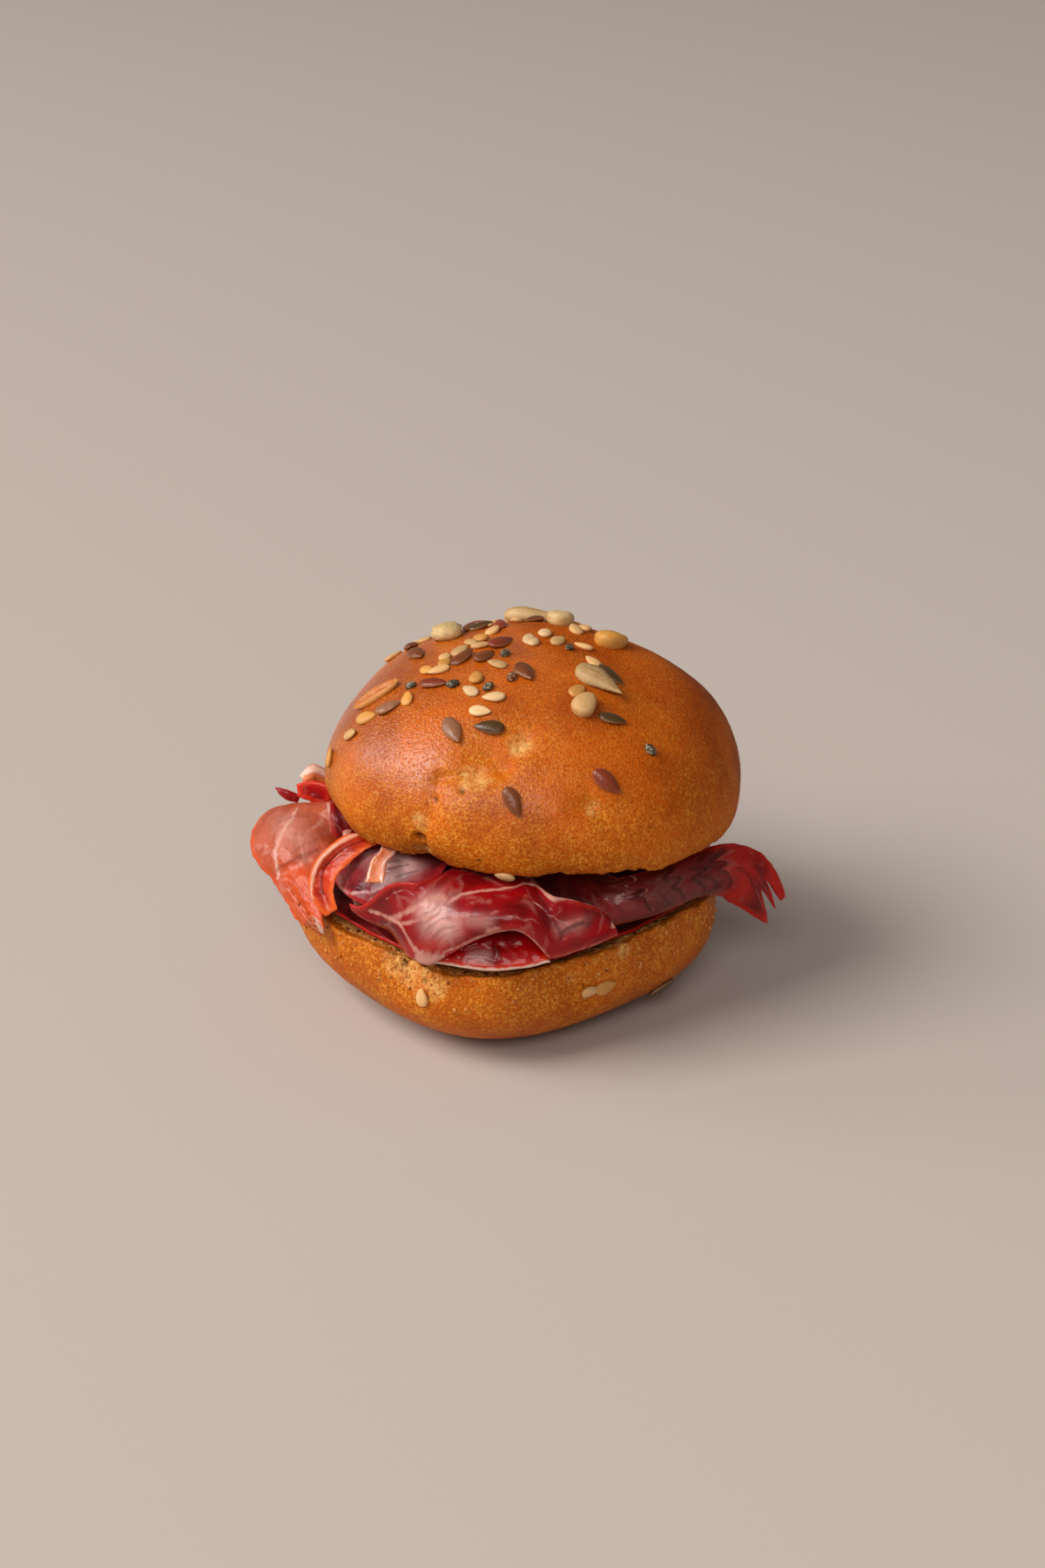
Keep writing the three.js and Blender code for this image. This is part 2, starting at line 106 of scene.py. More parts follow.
def through(values, t):
    """The smooth curve through a few numbers, read at t from 0 to 1."""
    rows = np.stack(np.broadcast_arrays(*values, t)[:-1], -1)
    count = rows.shape[-1]
    place = np.broadcast_to(t, rows.shape[:-1]) * (count - 1)
    i = np.clip(np.floor(place).astype(int), 0, count - 2)
    s = place - i
    a, b, c, d = (
        np.take_along_axis(rows, np.clip(i + k, 0, count - 1)[..., None], -1)[..., 0]
        for k in (-1, 0, 1, 2)
    )
    return b + 0.5 * s * (c - a + s * (2 * a - 5 * b + 4 * c - d + s * (3 * (b - c) + d - a)))


def grid_normals(p, wrap):
    """Outward normals of a grid of points, whose columns go round where wrap is true."""
    down = np.gradient(p, axis=0)
    if wrap:
        side = np.roll(p, -1, axis=1) - np.roll(p, 1, axis=1)
    else:
        side = np.gradient(p, axis=1)
    return unit(np.cross(down, side))


def grid_faces(rows, columns, wrap):
    """The quads of a grid, numbered row by row."""
    i, j = np.meshgrid(np.arange(rows - 1), np.arange(columns if wrap else columns - 1), indexing="ij")
    a, b = i * columns + j, i * columns + (j + 1) % columns
    return np.stack([a, a + columns, b + columns, b], -1).reshape(-1, 4)


def fan(centre, ring):
    """Triangles from a point to a closed ring of points."""
    return np.stack([np.full(len(ring), centre), ring, np.roll(ring, -1)], -1)


def closed_rings(rings, tips):
    """Points and faces of a row of rings, with a tip that closes each end."""
    count, length = rings.shape[:2]
    points = np.concatenate([rings.reshape(-1, 3), tips])
    first = np.arange(length)
    last = first + (count - 1) * length
    ends = fan(len(points) - 2, first), fan(len(points) - 1, last)[:, ::-1]
    return points, [grid_faces(count, length, True), *ends]


def plain_mesh(name, points, faces, attributes=None):
    """A smooth mesh from points in millimetres and a list of arrays of quads or triangles."""
    mesh = bpy.data.meshes.new(name)
    sizes = np.concatenate([np.full(len(f), f.shape[1]) for f in faces])
    loops = np.concatenate([f.ravel() for f in faces])
    mesh.vertices.add(len(points))
    mesh.vertices.foreach_set("co", (points * MM).astype(np.float32).ravel())
    mesh.loops.add(len(loops))
    mesh.loops.foreach_set("vertex_index", loops.astype(np.int32))
    mesh.polygons.add(len(sizes))
    mesh.polygons.foreach_set("loop_start", (np.cumsum(sizes) - sizes).astype(np.int32))
    mesh.update(calc_edges=True)
    mesh.shade_smooth()
    for key, value in (attributes or {}).items():
        value = np.asarray(value, np.float32)
        kind, field = ("FLOAT", "value") if value.ndim == 1 else ("FLOAT_VECTOR", "vector")
        mesh.attributes.new(key, kind, "POINT").data.foreach_set(field, value.ravel())
    return mesh


def finish_piece(name, mesh, tree, slot, nodes=(), **inputs):
    """A piece that a geometry node tree makes of a mesh. It rides on the root body, and may replace nodes.

    An input is the tree's own, with _ for a space.
    """
    piece = bpy.data.objects.new(name, mesh)
    bpy.context.scene.collection.objects.link(piece)
    modifier = piece.modifiers.new("shape", "NODES")
    modifier.node_group = tree
    sockets = {item.name: item.identifier for item in tree.interface.items_tree if item.in_out == "INPUT"}
    for key, value in inputs.items():
        modifier[sockets[key.replace("_", " ")]] = value
    graph = bpy.context.evaluated_depsgraph_get()
    shown = piece.evaluated_get(graph)
    made = bpy.data.meshes.new_from_object(shown, preserve_all_data_layers=True, depsgraph=graph)
    piece.modifiers.clear()
    piece.data = made
    made.name = name
    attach(piece, "root")
    if nodes:
        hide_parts(*nodes)
    return piece


# ---- nodes ----

MATH, VECTORS, RANGE = "ShaderNodeMath", "ShaderNodeVectorMath", "ShaderNodeMapRange"
NOISE, CELLS = "ShaderNodeTexNoise", "ShaderNodeTexVoronoi"
PAINTED, CARRIED = "ShaderNodeAttribute", "GeometryNodeInputNamedAttribute"
TIMES, PLUS, MINUS, OVER, MOST, TIMES_PLUS, SCALED = (
    {"operation": o} for o in ("MULTIPLY", "ADD", "SUBTRACT", "DIVIDE", "MAXIMUM", "MULTIPLY_ADD", "SCALE")
)
NUMBERS, PLACES = {"data_type": "FLOAT"}, {"data_type": "FLOAT_VECTOR"}
SMOOTH, SEEDED = {"interpolation_type": "SMOOTHSTEP"}, {"noise_dimensions": "4D"}


def linear(code):
    """Linear colour of an sRGB hex value."""
    parts = [int(code[i : i + 2], 16) / 255 for i in (1, 3, 5)]
    return tuple(c / 12.92 if c <= 0.04045 else ((c + 0.055) / 1.055) ** 2.4 for c in parts)


def add(tree, kind, settings=None, **inputs):
    """Adds a node, or takes one that is there, with its settings and links.

    An input is a socket's name with _ for a space, or _ and its number. A node as its value links its first
    output in use, a pair is a node and the output's name, and text with # is a colour.
    """
    made = kind if isinstance(kind, bpy.types.Node) else tree.nodes.new(kind)
    for key, value in (settings or {}).items():
        setattr(made, key, value)
    for key, value in inputs.items():
        socket = made.inputs[int(key[1:]) if key[0] == "_" else key.replace("_", " ")]
        if isinstance(value, bpy.types.Node):
            tree.links.new(next(o for o in value.outputs if o.enabled), socket)
        elif isinstance(value, tuple) and isinstance(value[0], bpy.types.Node):
            tree.links.new(value[0].outputs[value[1]], socket)
        elif isinstance(value, str) and value[0] == "#":
            socket.default_value = (*linear(value), 1)
        else:
            socket.default_value = value
    return made


def new_look(name):
    """A new material, its tree and shader, and the place on the piece in millimetres."""
    material = bpy.data.materials.new(name)
    material.use_nodes = True
    tree = material.node_tree
    place = add(tree, "ShaderNodeTexCoord")
    mm = add(tree, VECTORS, SCALED, _0=(place, "Object"), Scale=1 / MM)
    return material, tree, tree.nodes["Principled BSDF"], mm


def layered(tree, colour, layers):
    """Lays colours over a colour, each with the share that covers it."""
    for share, over in layers:
        colour = add(tree, "ShaderNodeMix", {"data_type": "RGBA"}, _0=share, _6=colour, _7=over)
    return colour


def new_shape(name, **inputs):
    """A new geometry node tree, its input and its output. An input's value is a number, or else its kind."""
    tree = bpy.data.node_groups.new(name, "GeometryNodeTree")
    tree.interface.new_socket("Geometry", in_out="OUTPUT", socket_type="NodeSocketGeometry")
    for key, value in {"Geometry": "Geometry", **inputs}.items():
        kind = value if isinstance(value, str) else type(value).__name__.title()
        key = key.replace("_", " ")
        socket = tree.interface.new_socket(key, in_out="INPUT", socket_type="NodeSocket" + kind)
        if kind != value:
            socket.default_value = value
    return tree, tree.nodes.new("NodeGroupInput"), tree.nodes.new("NodeGroupOutput")


def finish_shape(tree, given, result, geometry):
    """Ends a tree with Realize Instances and Set Material."""
    real = add(tree, "GeometryNodeRealizeInstances", Geometry=geometry)
    dressed = add(tree, "GeometryNodeSetMaterial", Geometry=real, Material=(given, "Material"))
    add(tree, result, Geometry=dressed)
    return tree


# ---- shapes that follow a surface ----


def relief(tree, given, size, height, place, seed, detail):
    """Lumps about zero in millimetres, with the size and height that two of the tree's inputs give."""
    once = add(tree, MATH, OVER, _0=1.0, _1=(given, size))
    lumps = add(tree, NOISE, SEEDED, Vector=place, W=seed, Scale=once, Detail=detail)
    centred = add(tree, MATH, MINUS, _0=lumps, _1=0.5)
    level = add(tree, MATH, TIMES, _0=centred, _1=(given, height))
    return add(tree, MATH, TIMES, _0=level, _1=2.0)


def raised(tree, geometry, height):
    """Moves a surface out along its normals by a height in millimetres."""
    metres = add(tree, MATH, TIMES, _0=height, _1=MM)
    offset = add(tree, VECTORS, SCALED, _0=add(tree, "GeometryNodeInputNormal"), Scale=metres)
    return add(tree, "GeometryNodeSetPosition", Geometry=geometry, Offset=offset)


def crust_shape():
    """Relief on a crust: soft lumps all over, and grain that grows where the rough attribute is."""
    tree, given, result = new_shape(
        "crust_relief", Lump_Size=3.2, Lump_Height=0.08, Grain_Size=0.75, Grain_Height=0.07,
        Rough_Height=0.3, Seed=7.0, Material="Material",
    )
    place = add(tree, VECTORS, SCALED, _0=add(tree, "GeometryNodeInputPosition"), Scale=1 / MM)
    rough = add(tree, CARRIED, NUMBERS, Name="rough")
    lumps, grain, coarse = (
        relief(tree, given, size + " Size", height + " Height", place, (given, "Seed"), 2.0)
        for size, height in (("Lump", "Lump"), ("Grain", "Grain"), ("Grain", "Rough"))
    )
    height = add(tree, MATH, PLUS, _0=lumps, _1=grain)
    height = add(tree, MATH, PLUS, _0=height, _1=add(tree, MATH, TIMES, _0=coarse, _1=rough))
    return finish_shape(tree, given, result, raised(tree, (given, "Geometry"), height))


def slice_shape():
    """A slice of ham from its middle surface: ripples, then two faces that meet in a thin rounded edge.

    The edge attribute is the distance to the slice's edge, and lift is how far creases and seams raise it.
    """
    tree, given, result = new_shape(
        "slice_of_ham", Thickness=0.6, Rounding=0.6, Ripple_Size=3.0, Ripple_Height=0.3,
        Crinkle_Size=1.1, Crinkle_Height=0.08, Seed=3.0, Material="Material",
    )
    sheet = add(tree, CARRIED, PLACES, Name="sheet")
    edge, height = (add(tree, CARRIED, NUMBERS, Name=name) for name in ("edge", "lift"))
    for kind in ("Ripple", "Crinkle"):
        level = relief(tree, given, kind + " Size", kind + " Height", sheet, (given, "Seed"), 1.5)
        height = add(tree, MATH, PLUS, _0=level, _1=height)
    rippled = raised(tree, (given, "Geometry"), height)
    share = add(tree, MATH, {"operation": "DIVIDE", "use_clamp": True}, _0=edge, _1=(given, "Rounding"))
    share = add(tree, MATH, {"operation": "POWER"}, _0=share, _1=0.5)
    full = add(tree, MATH, TIMES, _0=share, _1=(given, "Thickness"))
    upper, lower = (raised(tree, rippled, add(tree, MATH, TIMES, _0=full, _1=side)) for side in (0.5, -0.5))
    joined = add(tree, "GeometryNodeJoinGeometry", Geometry=upper)
    tree.links.new(add(tree, "GeometryNodeFlipFaces", Mesh=lower).outputs[0], joined.inputs[0])
    closed = add(tree, "GeometryNodeMergeByDistance", Geometry=joined, Distance=0.002 * MM)
    return finish_shape(tree, given, result, closed)


def seed_shape():
    """Seeds on points that carry each one's rotation and size. Each is a little uneven in its own way."""
    tree, given, result = new_shape(
        "seeds_on_crust", Shape="Object", Uneven_Size=1.0, Uneven_Height=0.08, Material="Material",
    )
    shape = add(tree, "GeometryNodeObjectInfo", Object=(given, "Shape"))
    rotation = add(tree, "FunctionNodeEulerToRotation", Euler=add(tree, CARRIED, PLACES, Name="turned"))
    size, number = (add(tree, CARRIED, NUMBERS, Name=name) for name in ("size", "number"))
    spread = add(
        tree, "GeometryNodeInstanceOnPoints",
        Points=(given, "Geometry"), Instance=(shape, "Geometry"), Rotation=rotation, Scale=size,
    )
    real = add(tree, "GeometryNodeRealizeInstances", Geometry=spread)
    own = add(tree, CARRIED, PLACES, Name="own")
    height = relief(tree, given, "Uneven Size", "Uneven Height", own, number, 2.0)
    return finish_shape(tree, given, result, raised(tree, real, height))


def crumbs_shape():
    """Crumbs strewn over a surface where its shed attribute lets them lie. Each is a ball with lumps."""
    tree, given, result = new_shape("crumbs_on_rim", Density=0.5, Largest=0.45, Seed=5, Material="Material")
    shed = add(tree, CARRIED, NUMBERS, Name="shed")
    each = add(tree, MATH, TIMES, _0=(given, "Density"), _1=1 / MM**2)
    density = add(tree, MATH, TIMES, _0=shed, _1=each)
    places = add(
        tree, "GeometryNodeDistributePointsOnFaces",
        Mesh=(given, "Geometry"), Density=density, Seed=(given, "Seed"),
    )
    ball = add(tree, "GeometryNodeMeshIcoSphere", Radius=0.5 * MM, Subdivisions=2)
    size = add(tree, "FunctionNodeRandomValue", NUMBERS, Min=0.35, Max=1.0, Seed=(given, "Seed"))
    size = add(tree, MATH, TIMES, _0=(size, "Value"), _1=(given, "Largest"))
    spread = add(tree, "GeometryNodeInstanceOnPoints", Points=(places, "Points"), Instance=ball, Scale=size)
    real = add(tree, "GeometryNodeRealizeInstances", Geometry=spread)
    place, lump = add(tree, "GeometryNodeInputPosition"), 0.35 * MM
    lumps = add(tree, NOISE, Vector=place, Scale=1 / lump, Detail=1.0)
    centred = add(tree, VECTORS, MINUS, _0=(lumps, "Color"), _1=(0.5, 0.5, 0.5))
    offset = add(tree, VECTORS, SCALED, _0=centred, Scale=lump)
    moved = add(tree, "GeometryNodeSetPosition", Geometry=real, Offset=offset)
    return finish_shape(tree, given, result, moved)


# ---- materials ----


def crust_look():
    """Brioche crust, glazed with egg wash and browned in the oven: deep orange brown, browner on top and
    most on the side away from the main lamp, partly from baking and partly painted shade, with a fine gold
    speckle where less wash lay. It is satin, glossiest at the top left, and paler where pressed or torn. The
    dark of its pits and small holes is painted shade."""
    material, tree, shader, mm = new_look("brioche_crust_baked")
    speckle = add(tree, NOISE, Vector=mm, Scale=1 / 0.5, Detail=2.5, Roughness=0.65)
    fine = add(tree, NOISE, Vector=mm, Scale=1 / 0.3, Detail=2.0)
    patch = add(tree, NOISE, Vector=mm, Scale=1 / 3.4, Detail=3.0)
    cloud = add(tree, NOISE, Vector=mm, Scale=1 / 13, Detail=2.0)
    grains = add(tree, CELLS, Vector=mm, Scale=1 / 0.45)
    pits = add(tree, CELLS, Vector=mm, Scale=1 / 1.5)
    golden, gloss, torn, dark, baked = (
        add(tree, PAINTED, {"attribute_name": n}) for n in ("golden", "gloss", "torn", "dark", "baked")
    )
    browned = add(tree, RANGE, SMOOTH, Value=cloud, From_Min=0.38, From_Max=0.64)
    specks = add(tree, RANGE, SMOOTH, Value=speckle, From_Min=0.45, From_Max=0.66, To_Max=0.85)
    tone = add(tree, "ShaderNodeSeparateColor", Color=(grains, "Color"))
    grainy = add(tree, RANGE, SMOOTH, Value=(tone, "Red"), From_Min=0.55, From_Max=0.9)
    bead = add(tree, RANGE, SMOOTH, Value=(grains, "Distance"), From_Min=0.55, From_Max=0.1)
    grainy = add(tree, MATH, TIMES, _0=grainy, _1=bead)
    specks = add(tree, MATH, MOST, _0=specks, _1=grainy)
    dense = add(tree, RANGE, SMOOTH, Value=patch, From_Min=0.3, From_Max=0.62, To_Min=0.35)
    shown = add(tree, RANGE, Value=(golden, "Fac"), To_Min=0.2, To_Max=0.9)
    specks = add(tree, MATH, TIMES, _0=add(tree, MATH, TIMES, _0=specks, _1=dense), _1=shown)
    wash = add(tree, MATH, TIMES, _0=(golden, "Fac"), _1=0.65)
    wash = add(tree, MATH, TIMES, _0=wash, _1=dense)
    burnt = add(tree, RANGE, SMOOTH, Value=fine, From_Min=0.5, From_Max=0.36, To_Max=0.5)
    shaded_hole = add(tree, RANGE, SMOOTH, Value=(pits, "Distance"), From_Min=0.16, From_Max=0.06, To_Max=0.55)
    shaded_hole = add(tree, MATH, TIMES, _0=shaded_hole, _1=dense)
    crumbly = add(tree, RANGE, SMOOTH, Value=speckle, From_Min=0.36, From_Max=0.6, To_Min=0.3)
    crumbly = add(tree, MATH, TIMES, _0=(torn, "Fac"), _1=crumbly)
    # The darker top, most on the side away from the main lamp, is partly painted shade. The dark of pits and
    # of small holes is painted shade.
    colour = layered(tree, "#c85c04", [
        (browned, "#a24400"), ((baked, "Fac"), "#842e00"), (wash, "#c06406"), (burnt, "#803000"),
        (specks, "#e39a34"), (shaded_hole, "#602400"), (crumbly, "#dca860"), ((dark, "Fac"), "#401602"),
    ])
    even = add(tree, RANGE, Value=(gloss, "Fac"), To_Min=0.62, To_Max=0.36)
    washed = add(tree, MATH, TIMES, _0=(gloss, "Fac"), _1=0.95)
    rough = add(tree, RANGE, Value=speckle, From_Min=0.3, From_Max=0.7, To_Min=-0.05, To_Max=0.1)
    rough = add(tree, MATH, PLUS, _0=even, _1=rough)
    height = add(tree, MATH, PLUS, _0=speckle, _1=bead)
    bump = add(tree, "ShaderNodeBump", Height=height, Strength=0.5, Distance=0.13 * MM)
    add(
        tree, shader, Base_Color=colour, Normal=bump, Roughness=rough, IOR=1.42, Specular_IOR_Level=0.16,
        Subsurface_Weight=0.06, Subsurface_Radius=(1.0, 0.35, 0.1), Subsurface_Scale=0.8 * MM,
        Coat_Weight=washed, Coat_Roughness=0.28, Coat_Normal=bump,
    )
    return material


def crumb_look():
    """Brioche crumb, torn open: golden yellow with small holes, whose dark is painted shade, soft and matt
    to the eye.
    """
    material, tree, shader, mm = new_look("brioche_crumb_torn")
    holes = add(tree, CELLS, Vector=mm, Scale=1 / 1.3)
    grain = add(tree, NOISE, Vector=mm, Scale=1 / 0.5, Detail=3.0)
    patch = add(tree, NOISE, Vector=mm, Scale=1 / 2.5, Detail=2.0)
    shaded_hole = add(tree, RANGE, SMOOTH, Value=(holes, "Distance"), From_Min=0.32, From_Max=0.08)
    grains = add(tree, RANGE, SMOOTH, Value=grain, From_Min=0.46, From_Max=0.66)
    toasted = add(tree, RANGE, SMOOTH, Value=patch, From_Min=0.4, From_Max=0.66, To_Max=0.8)
    # The dark in the holes is painted shade.
    colour = layered(tree, "#c98038", [(toasted, "#a04c10"), (grains, "#e0a058"), (shaded_hole, "#6c2c08")])
    height = add(tree, RANGE, SMOOTH, Value=(holes, "Distance"), From_Min=0.05, From_Max=0.45)
    height = add(tree, MATH, PLUS, _0=height, _1=grain)
    bump = add(tree, "ShaderNodeBump", Height=height, Strength=0.9, Distance=0.45 * MM)
    add(
        tree, shader, Base_Color=colour, Normal=bump, Roughness=0.8, IOR=1.35,
        Subsurface_Weight=0.15, Subsurface_Radius=(1.0, 0.5, 0.2), Subsurface_Scale=1.2 * MM,
    )
    return material


def ham_look(name, colours, marbling, vein_gap, depth, roughness):
    """Air-dried ham, sliced thin and moist: red lean, waxy pale fat, and thin edges that let light through.

    The colours are of the lean, its deeper clouds, its pink streaks, the fat, a glow painted on thin edges
    and glowing lines for the light that comes through, and a pale sheen painted where it shines, a painted
    reflection.
    The sheet attribute runs along the slice in millimetres, so that veins and fibres follow the folds. The
    other attributes show what was painted on it; the near-black in creases is painted shade.
    """
    material, tree, shader, _ = new_look(name)
    lean, deep, pink, fat, glow, sheen_colour = colours.split()
    sheet, painted, crease, edge, painted_glow, sheen = (
        add(tree, PAINTED, {"attribute_name": n})
        for n in ("sheet", "fat", "crease", "edge", "painted_glow", "sheen")
    )
    place = (sheet, "Vector")
    sway = add(tree, NOISE, Vector=place, Scale=1 / 6, Detail=2.0)
    swayed = add(tree, VECTORS, TIMES_PLUS, _0=(sway, "Color"), _1=(6.0, 6.0, 6.0), _2=place)
    veins = add(
        tree, CELLS, {"feature": "DISTANCE_TO_EDGE"}, Vector=swayed, Scale=1 / vein_gap,
    )
    fibres = add(tree, "ShaderNodeMapping", Vector=swayed, Scale=(0.3, 2.4, 1.0))
    streaks = add(tree, NOISE, Vector=fibres, Scale=1.0, Detail=4.0, Roughness=0.6)
    clouds = add(tree, NOISE, Vector=place, Scale=1 / 6.5, Detail=3.0)
    mottle = add(tree, NOISE, Vector=swayed, Scale=1 / 1.3, Detail=3.0, Roughness=0.6)
    blotch = add(tree, NOISE, Vector=swayed, Scale=1 / 3.2, Detail=3.0)
    wander = add(tree, MATH, MINUS, _0=mottle, _1=0.5)

    deeper = add(tree, RANGE, SMOOTH, Value=clouds, From_Min=0.4, From_Max=0.62)
    streak = add(tree, RANGE, SMOOTH, Value=streaks, From_Min=0.5, From_Max=0.74, To_Max=0.5)
    # The glow on thin edges and on glowing lines is painted light that comes through the slice.
    shine = add(tree, MATH, TIMES_PLUS, _0=wander, _1=1.4, _2=(edge, "Fac"))
    shine = add(tree, RANGE, SMOOTH, Value=shine, From_Min=1.5, From_Max=0.2)
    shine = add(tree, MATH, MOST, _0=shine, _1=(painted_glow, "Fac"))
    halo = add(tree, RANGE, SMOOTH, Value=(painted, "Fac"), From_Min=0.15, From_Max=0.9, To_Max=0.4)
    vein = add(tree, RANGE, SMOOTH, Value=veins, From_Min=0.06, From_Max=0.0, To_Max=marbling)
    place_of = add(tree, RANGE, SMOOTH, Value=blotch, From_Min=0.45, From_Max=0.62)
    vein = add(tree, MATH, TIMES, _0=vein, _1=place_of)
    fleck = add(tree, RANGE, SMOOTH, Value=blotch, From_Min=0.62, From_Max=0.74, To_Max=0.7 * marbling)
    seam = add(tree, MATH, TIMES_PLUS, _0=wander, _1=0.9, _2=(painted, "Fac"))
    seam = add(tree, RANGE, SMOOTH, Value=seam, From_Min=0.4, From_Max=0.95)
    # The near-black in creases is painted shade.
    pressed = add(tree, MATH, TIMES, _0=(crease, "Fac"), _1=0.75)
    # The pale sheen, streaked, is a painted reflection.
    painted_sheen = add(tree, RANGE, Value=streaks, From_Min=0.35, From_Max=0.65, To_Min=0.7)
    painted_sheen = add(tree, MATH, TIMES, _0=(sheen, "Fac"), _1=painted_sheen)
    colour = layered(tree, lean, [
        (deeper, deep), (streak, pink), (fleck, pink), (shine, glow), (halo, pink), (vein, fat),
        (painted_sheen, sheen_colour), (seam, fat), (pressed, "#340507"),
    ])
    height = add(tree, MATH, TIMES_PLUS, _0=streaks, _1=0.8, _2=mottle)
    height = add(tree, MATH, TIMES_PLUS, _0=(crease, "Fac"), _1=-0.7, _2=height)
    bump = add(tree, "ShaderNodeBump", Height=height, Strength=0.3, Distance=0.2 * MM)
    satin = add(
        tree, RANGE, Value=streaks, From_Min=0.3, From_Max=0.7,
        To_Min=roughness + 0.1, To_Max=roughness - 0.06,
    )
    add(
        tree, shader, Base_Color=colour, Normal=bump, Roughness=satin, IOR=1.45, Specular_IOR_Level=0.14,
        Subsurface_Weight=depth, Subsurface_Radius=(1.0, 0.25, 0.12), Subsurface_Scale=1.2 * MM,
        Coat_Weight=0.26, Coat_Roughness=0.1,
    )
    return material


def seed_look(name, roughness, streak_share, mottle_share, rim_tint_and_highlight, rim_share):
    """The dry coat of a seed, streaked or mottled. The tint attribute gives each its own colour, rim is high
    along its edge and tip, and own is the place within the seed in millimetres."""
    material, tree, shader, _ = new_look(name)
    tint, own, rim, number = (
        add(tree, PAINTED, {"attribute_name": n}) for n in ("tint", "own", "rim", "number")
    )
    along = add(tree, "ShaderNodeMapping", Vector=(own, "Vector"), Scale=(0.3, 2.6, 2.6))
    streaks = add(tree, NOISE, SEEDED, Vector=along, W=(number, "Fac"), Scale=1.0)
    mottle = add(
        tree, NOISE, SEEDED,
        Vector=(own, "Vector"), W=(number, "Fac"), Scale=1 / 0.45, Detail=3.0,
    )
    dark = layered(tree, (tint, "Vector"), [(0.6, "#24120a")])
    pale = layered(tree, (tint, "Vector"), [(0.45, "#e6cfa6")])
    streak = add(tree, RANGE, SMOOTH, Value=streaks, From_Min=0.5, From_Max=0.68, To_Max=streak_share)
    spot = add(tree, RANGE, SMOOTH, Value=mottle, From_Min=0.5, From_Max=0.62, To_Max=mottle_share)
    rims = add(tree, MATH, TIMES, _0=(rim, "Fac"), _1=rim_share)
    colour = layered(tree, (tint, "Vector"), [(streak, dark), (spot, pale), (rims, rim_tint_and_highlight)])
    height = add(tree, MATH, PLUS, _0=streaks, _1=mottle)
    bump = add(tree, "ShaderNodeBump", Height=height, Strength=0.4, Distance=0.15 * MM)
    add(
        tree, shader, Base_Color=colour, Normal=bump, Roughness=roughness, IOR=1.45,
        Subsurface_Weight=0.08, Subsurface_Radius=(1.0, 0.6, 0.3), Subsurface_Scale=0.5 * MM,
    )
    return material


# ---- the roll ----

# Each half is measured from the middle of its widest level, with the same rules as its solid. Swells and the
# ragged edge are (crests round, share, bearing of one crest). A crease runs between two (bearing, height
# angle) places, then has its width and depth, and a bulge has a negative depth. Rises of the cut are
# (bearing, width, rise). Tears, where crumb shows, are (bearing, height angle, size), and pits are (bearing,
# height angle, radius, depth). Inward is the way from the cut into the bread, up or down.
CROWN = {
    "node": "crown", "inward": 1, "rings": 160, "seed": 7.0,
    "centre": (4.4, 0.5, 35), "half_width": 32.6, "rise": 21, "depth": 14, "cut": -5.8, "fullness": 2.05,
    "rises": [(-66, 22, 1.3)],
    "swells": [(2, 0.012, 0), (3, 0.012, -40), (4, 0.008, 20)],
    "creases": [
        ((-95, 31), (-106, 23), 4.5, 0.9),
        ((-106, 23), (-124, -10), 3.4, 1),
        ((-108, 14), (-115, 1), 3.6, -0.7),
        ((15, 66), (-32, 42), 6, 0.9),
        ((-75, 12), (-68, 9), 3, 0.8),
        ((120, 30), (95, 5), 4, 1),
        ((176, 18), (-176, -8), 10, 1.3),
        ((8, 32), (50, 56), 11.5, -1.7),
        ((124, 60), (158, 38), 9, -1),
    ],
    "fine": [
        ((-95, 30), (-100, 21), 1.6, 0.5),
        ((-100, 20), (-109, 17.5), 1.0, 0.6),
        ((-109, 17.5), (-119, 15), 1.0, 0.6),
        ((-119, 14), (-119, 4), 1.2, 0.6),
        ((-120, 0), (-123, -10), 1.0, 0.7),
        ((-74, 12), (-71, 10), 1.2, 0.3),
    ],
    "tears": [(-107, 17, 2.2), (-96, 29, 2.4), (-112, 16, 1.6), (-121, 2, 1.8), (-123, -8, 1.6),
              (-73, 11, 1.6)],
    "pits": [(-122, -3, 0.65, 1.3), (-121, -6.5, 0.5, 0.9), (-111, 13, 0.5, 0.4), (-69, -5, 0.35, 0.3),
             (-118.5, 9, 0.5, 0.4), (-104, -6, 0.35, 0.2), (-57, 5, 0.3, 0.2)],
    "ragged": [(9, 0.011, 20), (14, 0.009, -70), (19, 0.006, 5)],
    "tilt_back": 4.5, "lean_right": 4, "hollow": 0.7,
}
HEEL = {
    "node": "heel", "inward": -1, "rings": 116, "seed": 19.0,
    "centre": (0, 0, 12.6), "half_width": 32.6, "rise": 22, "depth": 14.4, "cut": 4.8, "fullness": 2.3,
    "rises": [(-108, 12, -0.5), (-40, 14, 0.5)],
    "swells": [(1, 0.02, 180), (4, 0.045, -97), (2, 0.012, 0), (3, 0.008, 30)],
    "creases": [
        ((-178, -14), (-134, -36), 10, 2.8),
        ((-104, -35), (-92, -30), 3, 0.8),
        ((-72, 2), (-66, -4), 4, 0.8),
        ((-124, 14), (-116, 8), 3, 1.2),
    ],
    "fine": [((-104, -34), (-97, -33), 0.8, 0.5), ((-97, -33), (-92, -30), 0.7, 0.4)],
    "tears": [(-114, 5, 3.0), (-107, 3, 2.2), (-121, 8, 2.6), (-70, 4, 1.2), (-52, 8, 1.8), (-38, 9, 1.6)],
    "pits": [(-118, 7, 0.6, 0.9), (-111, 4, 0.5, 0.7), (-124, 10, 0.5, 0.7), (-101, -33, 0.6, 0.5),
             (-66, 0, 0.35, 0.3), (-60, -16, 0.3, 0.2)],
    "ragged": [(8, 0.012, 40), (13, 0.011, -120), (20, 0.006, 0)],
    "tilt_back": 0, "lean_right": 0, "hollow": 0.8,
}
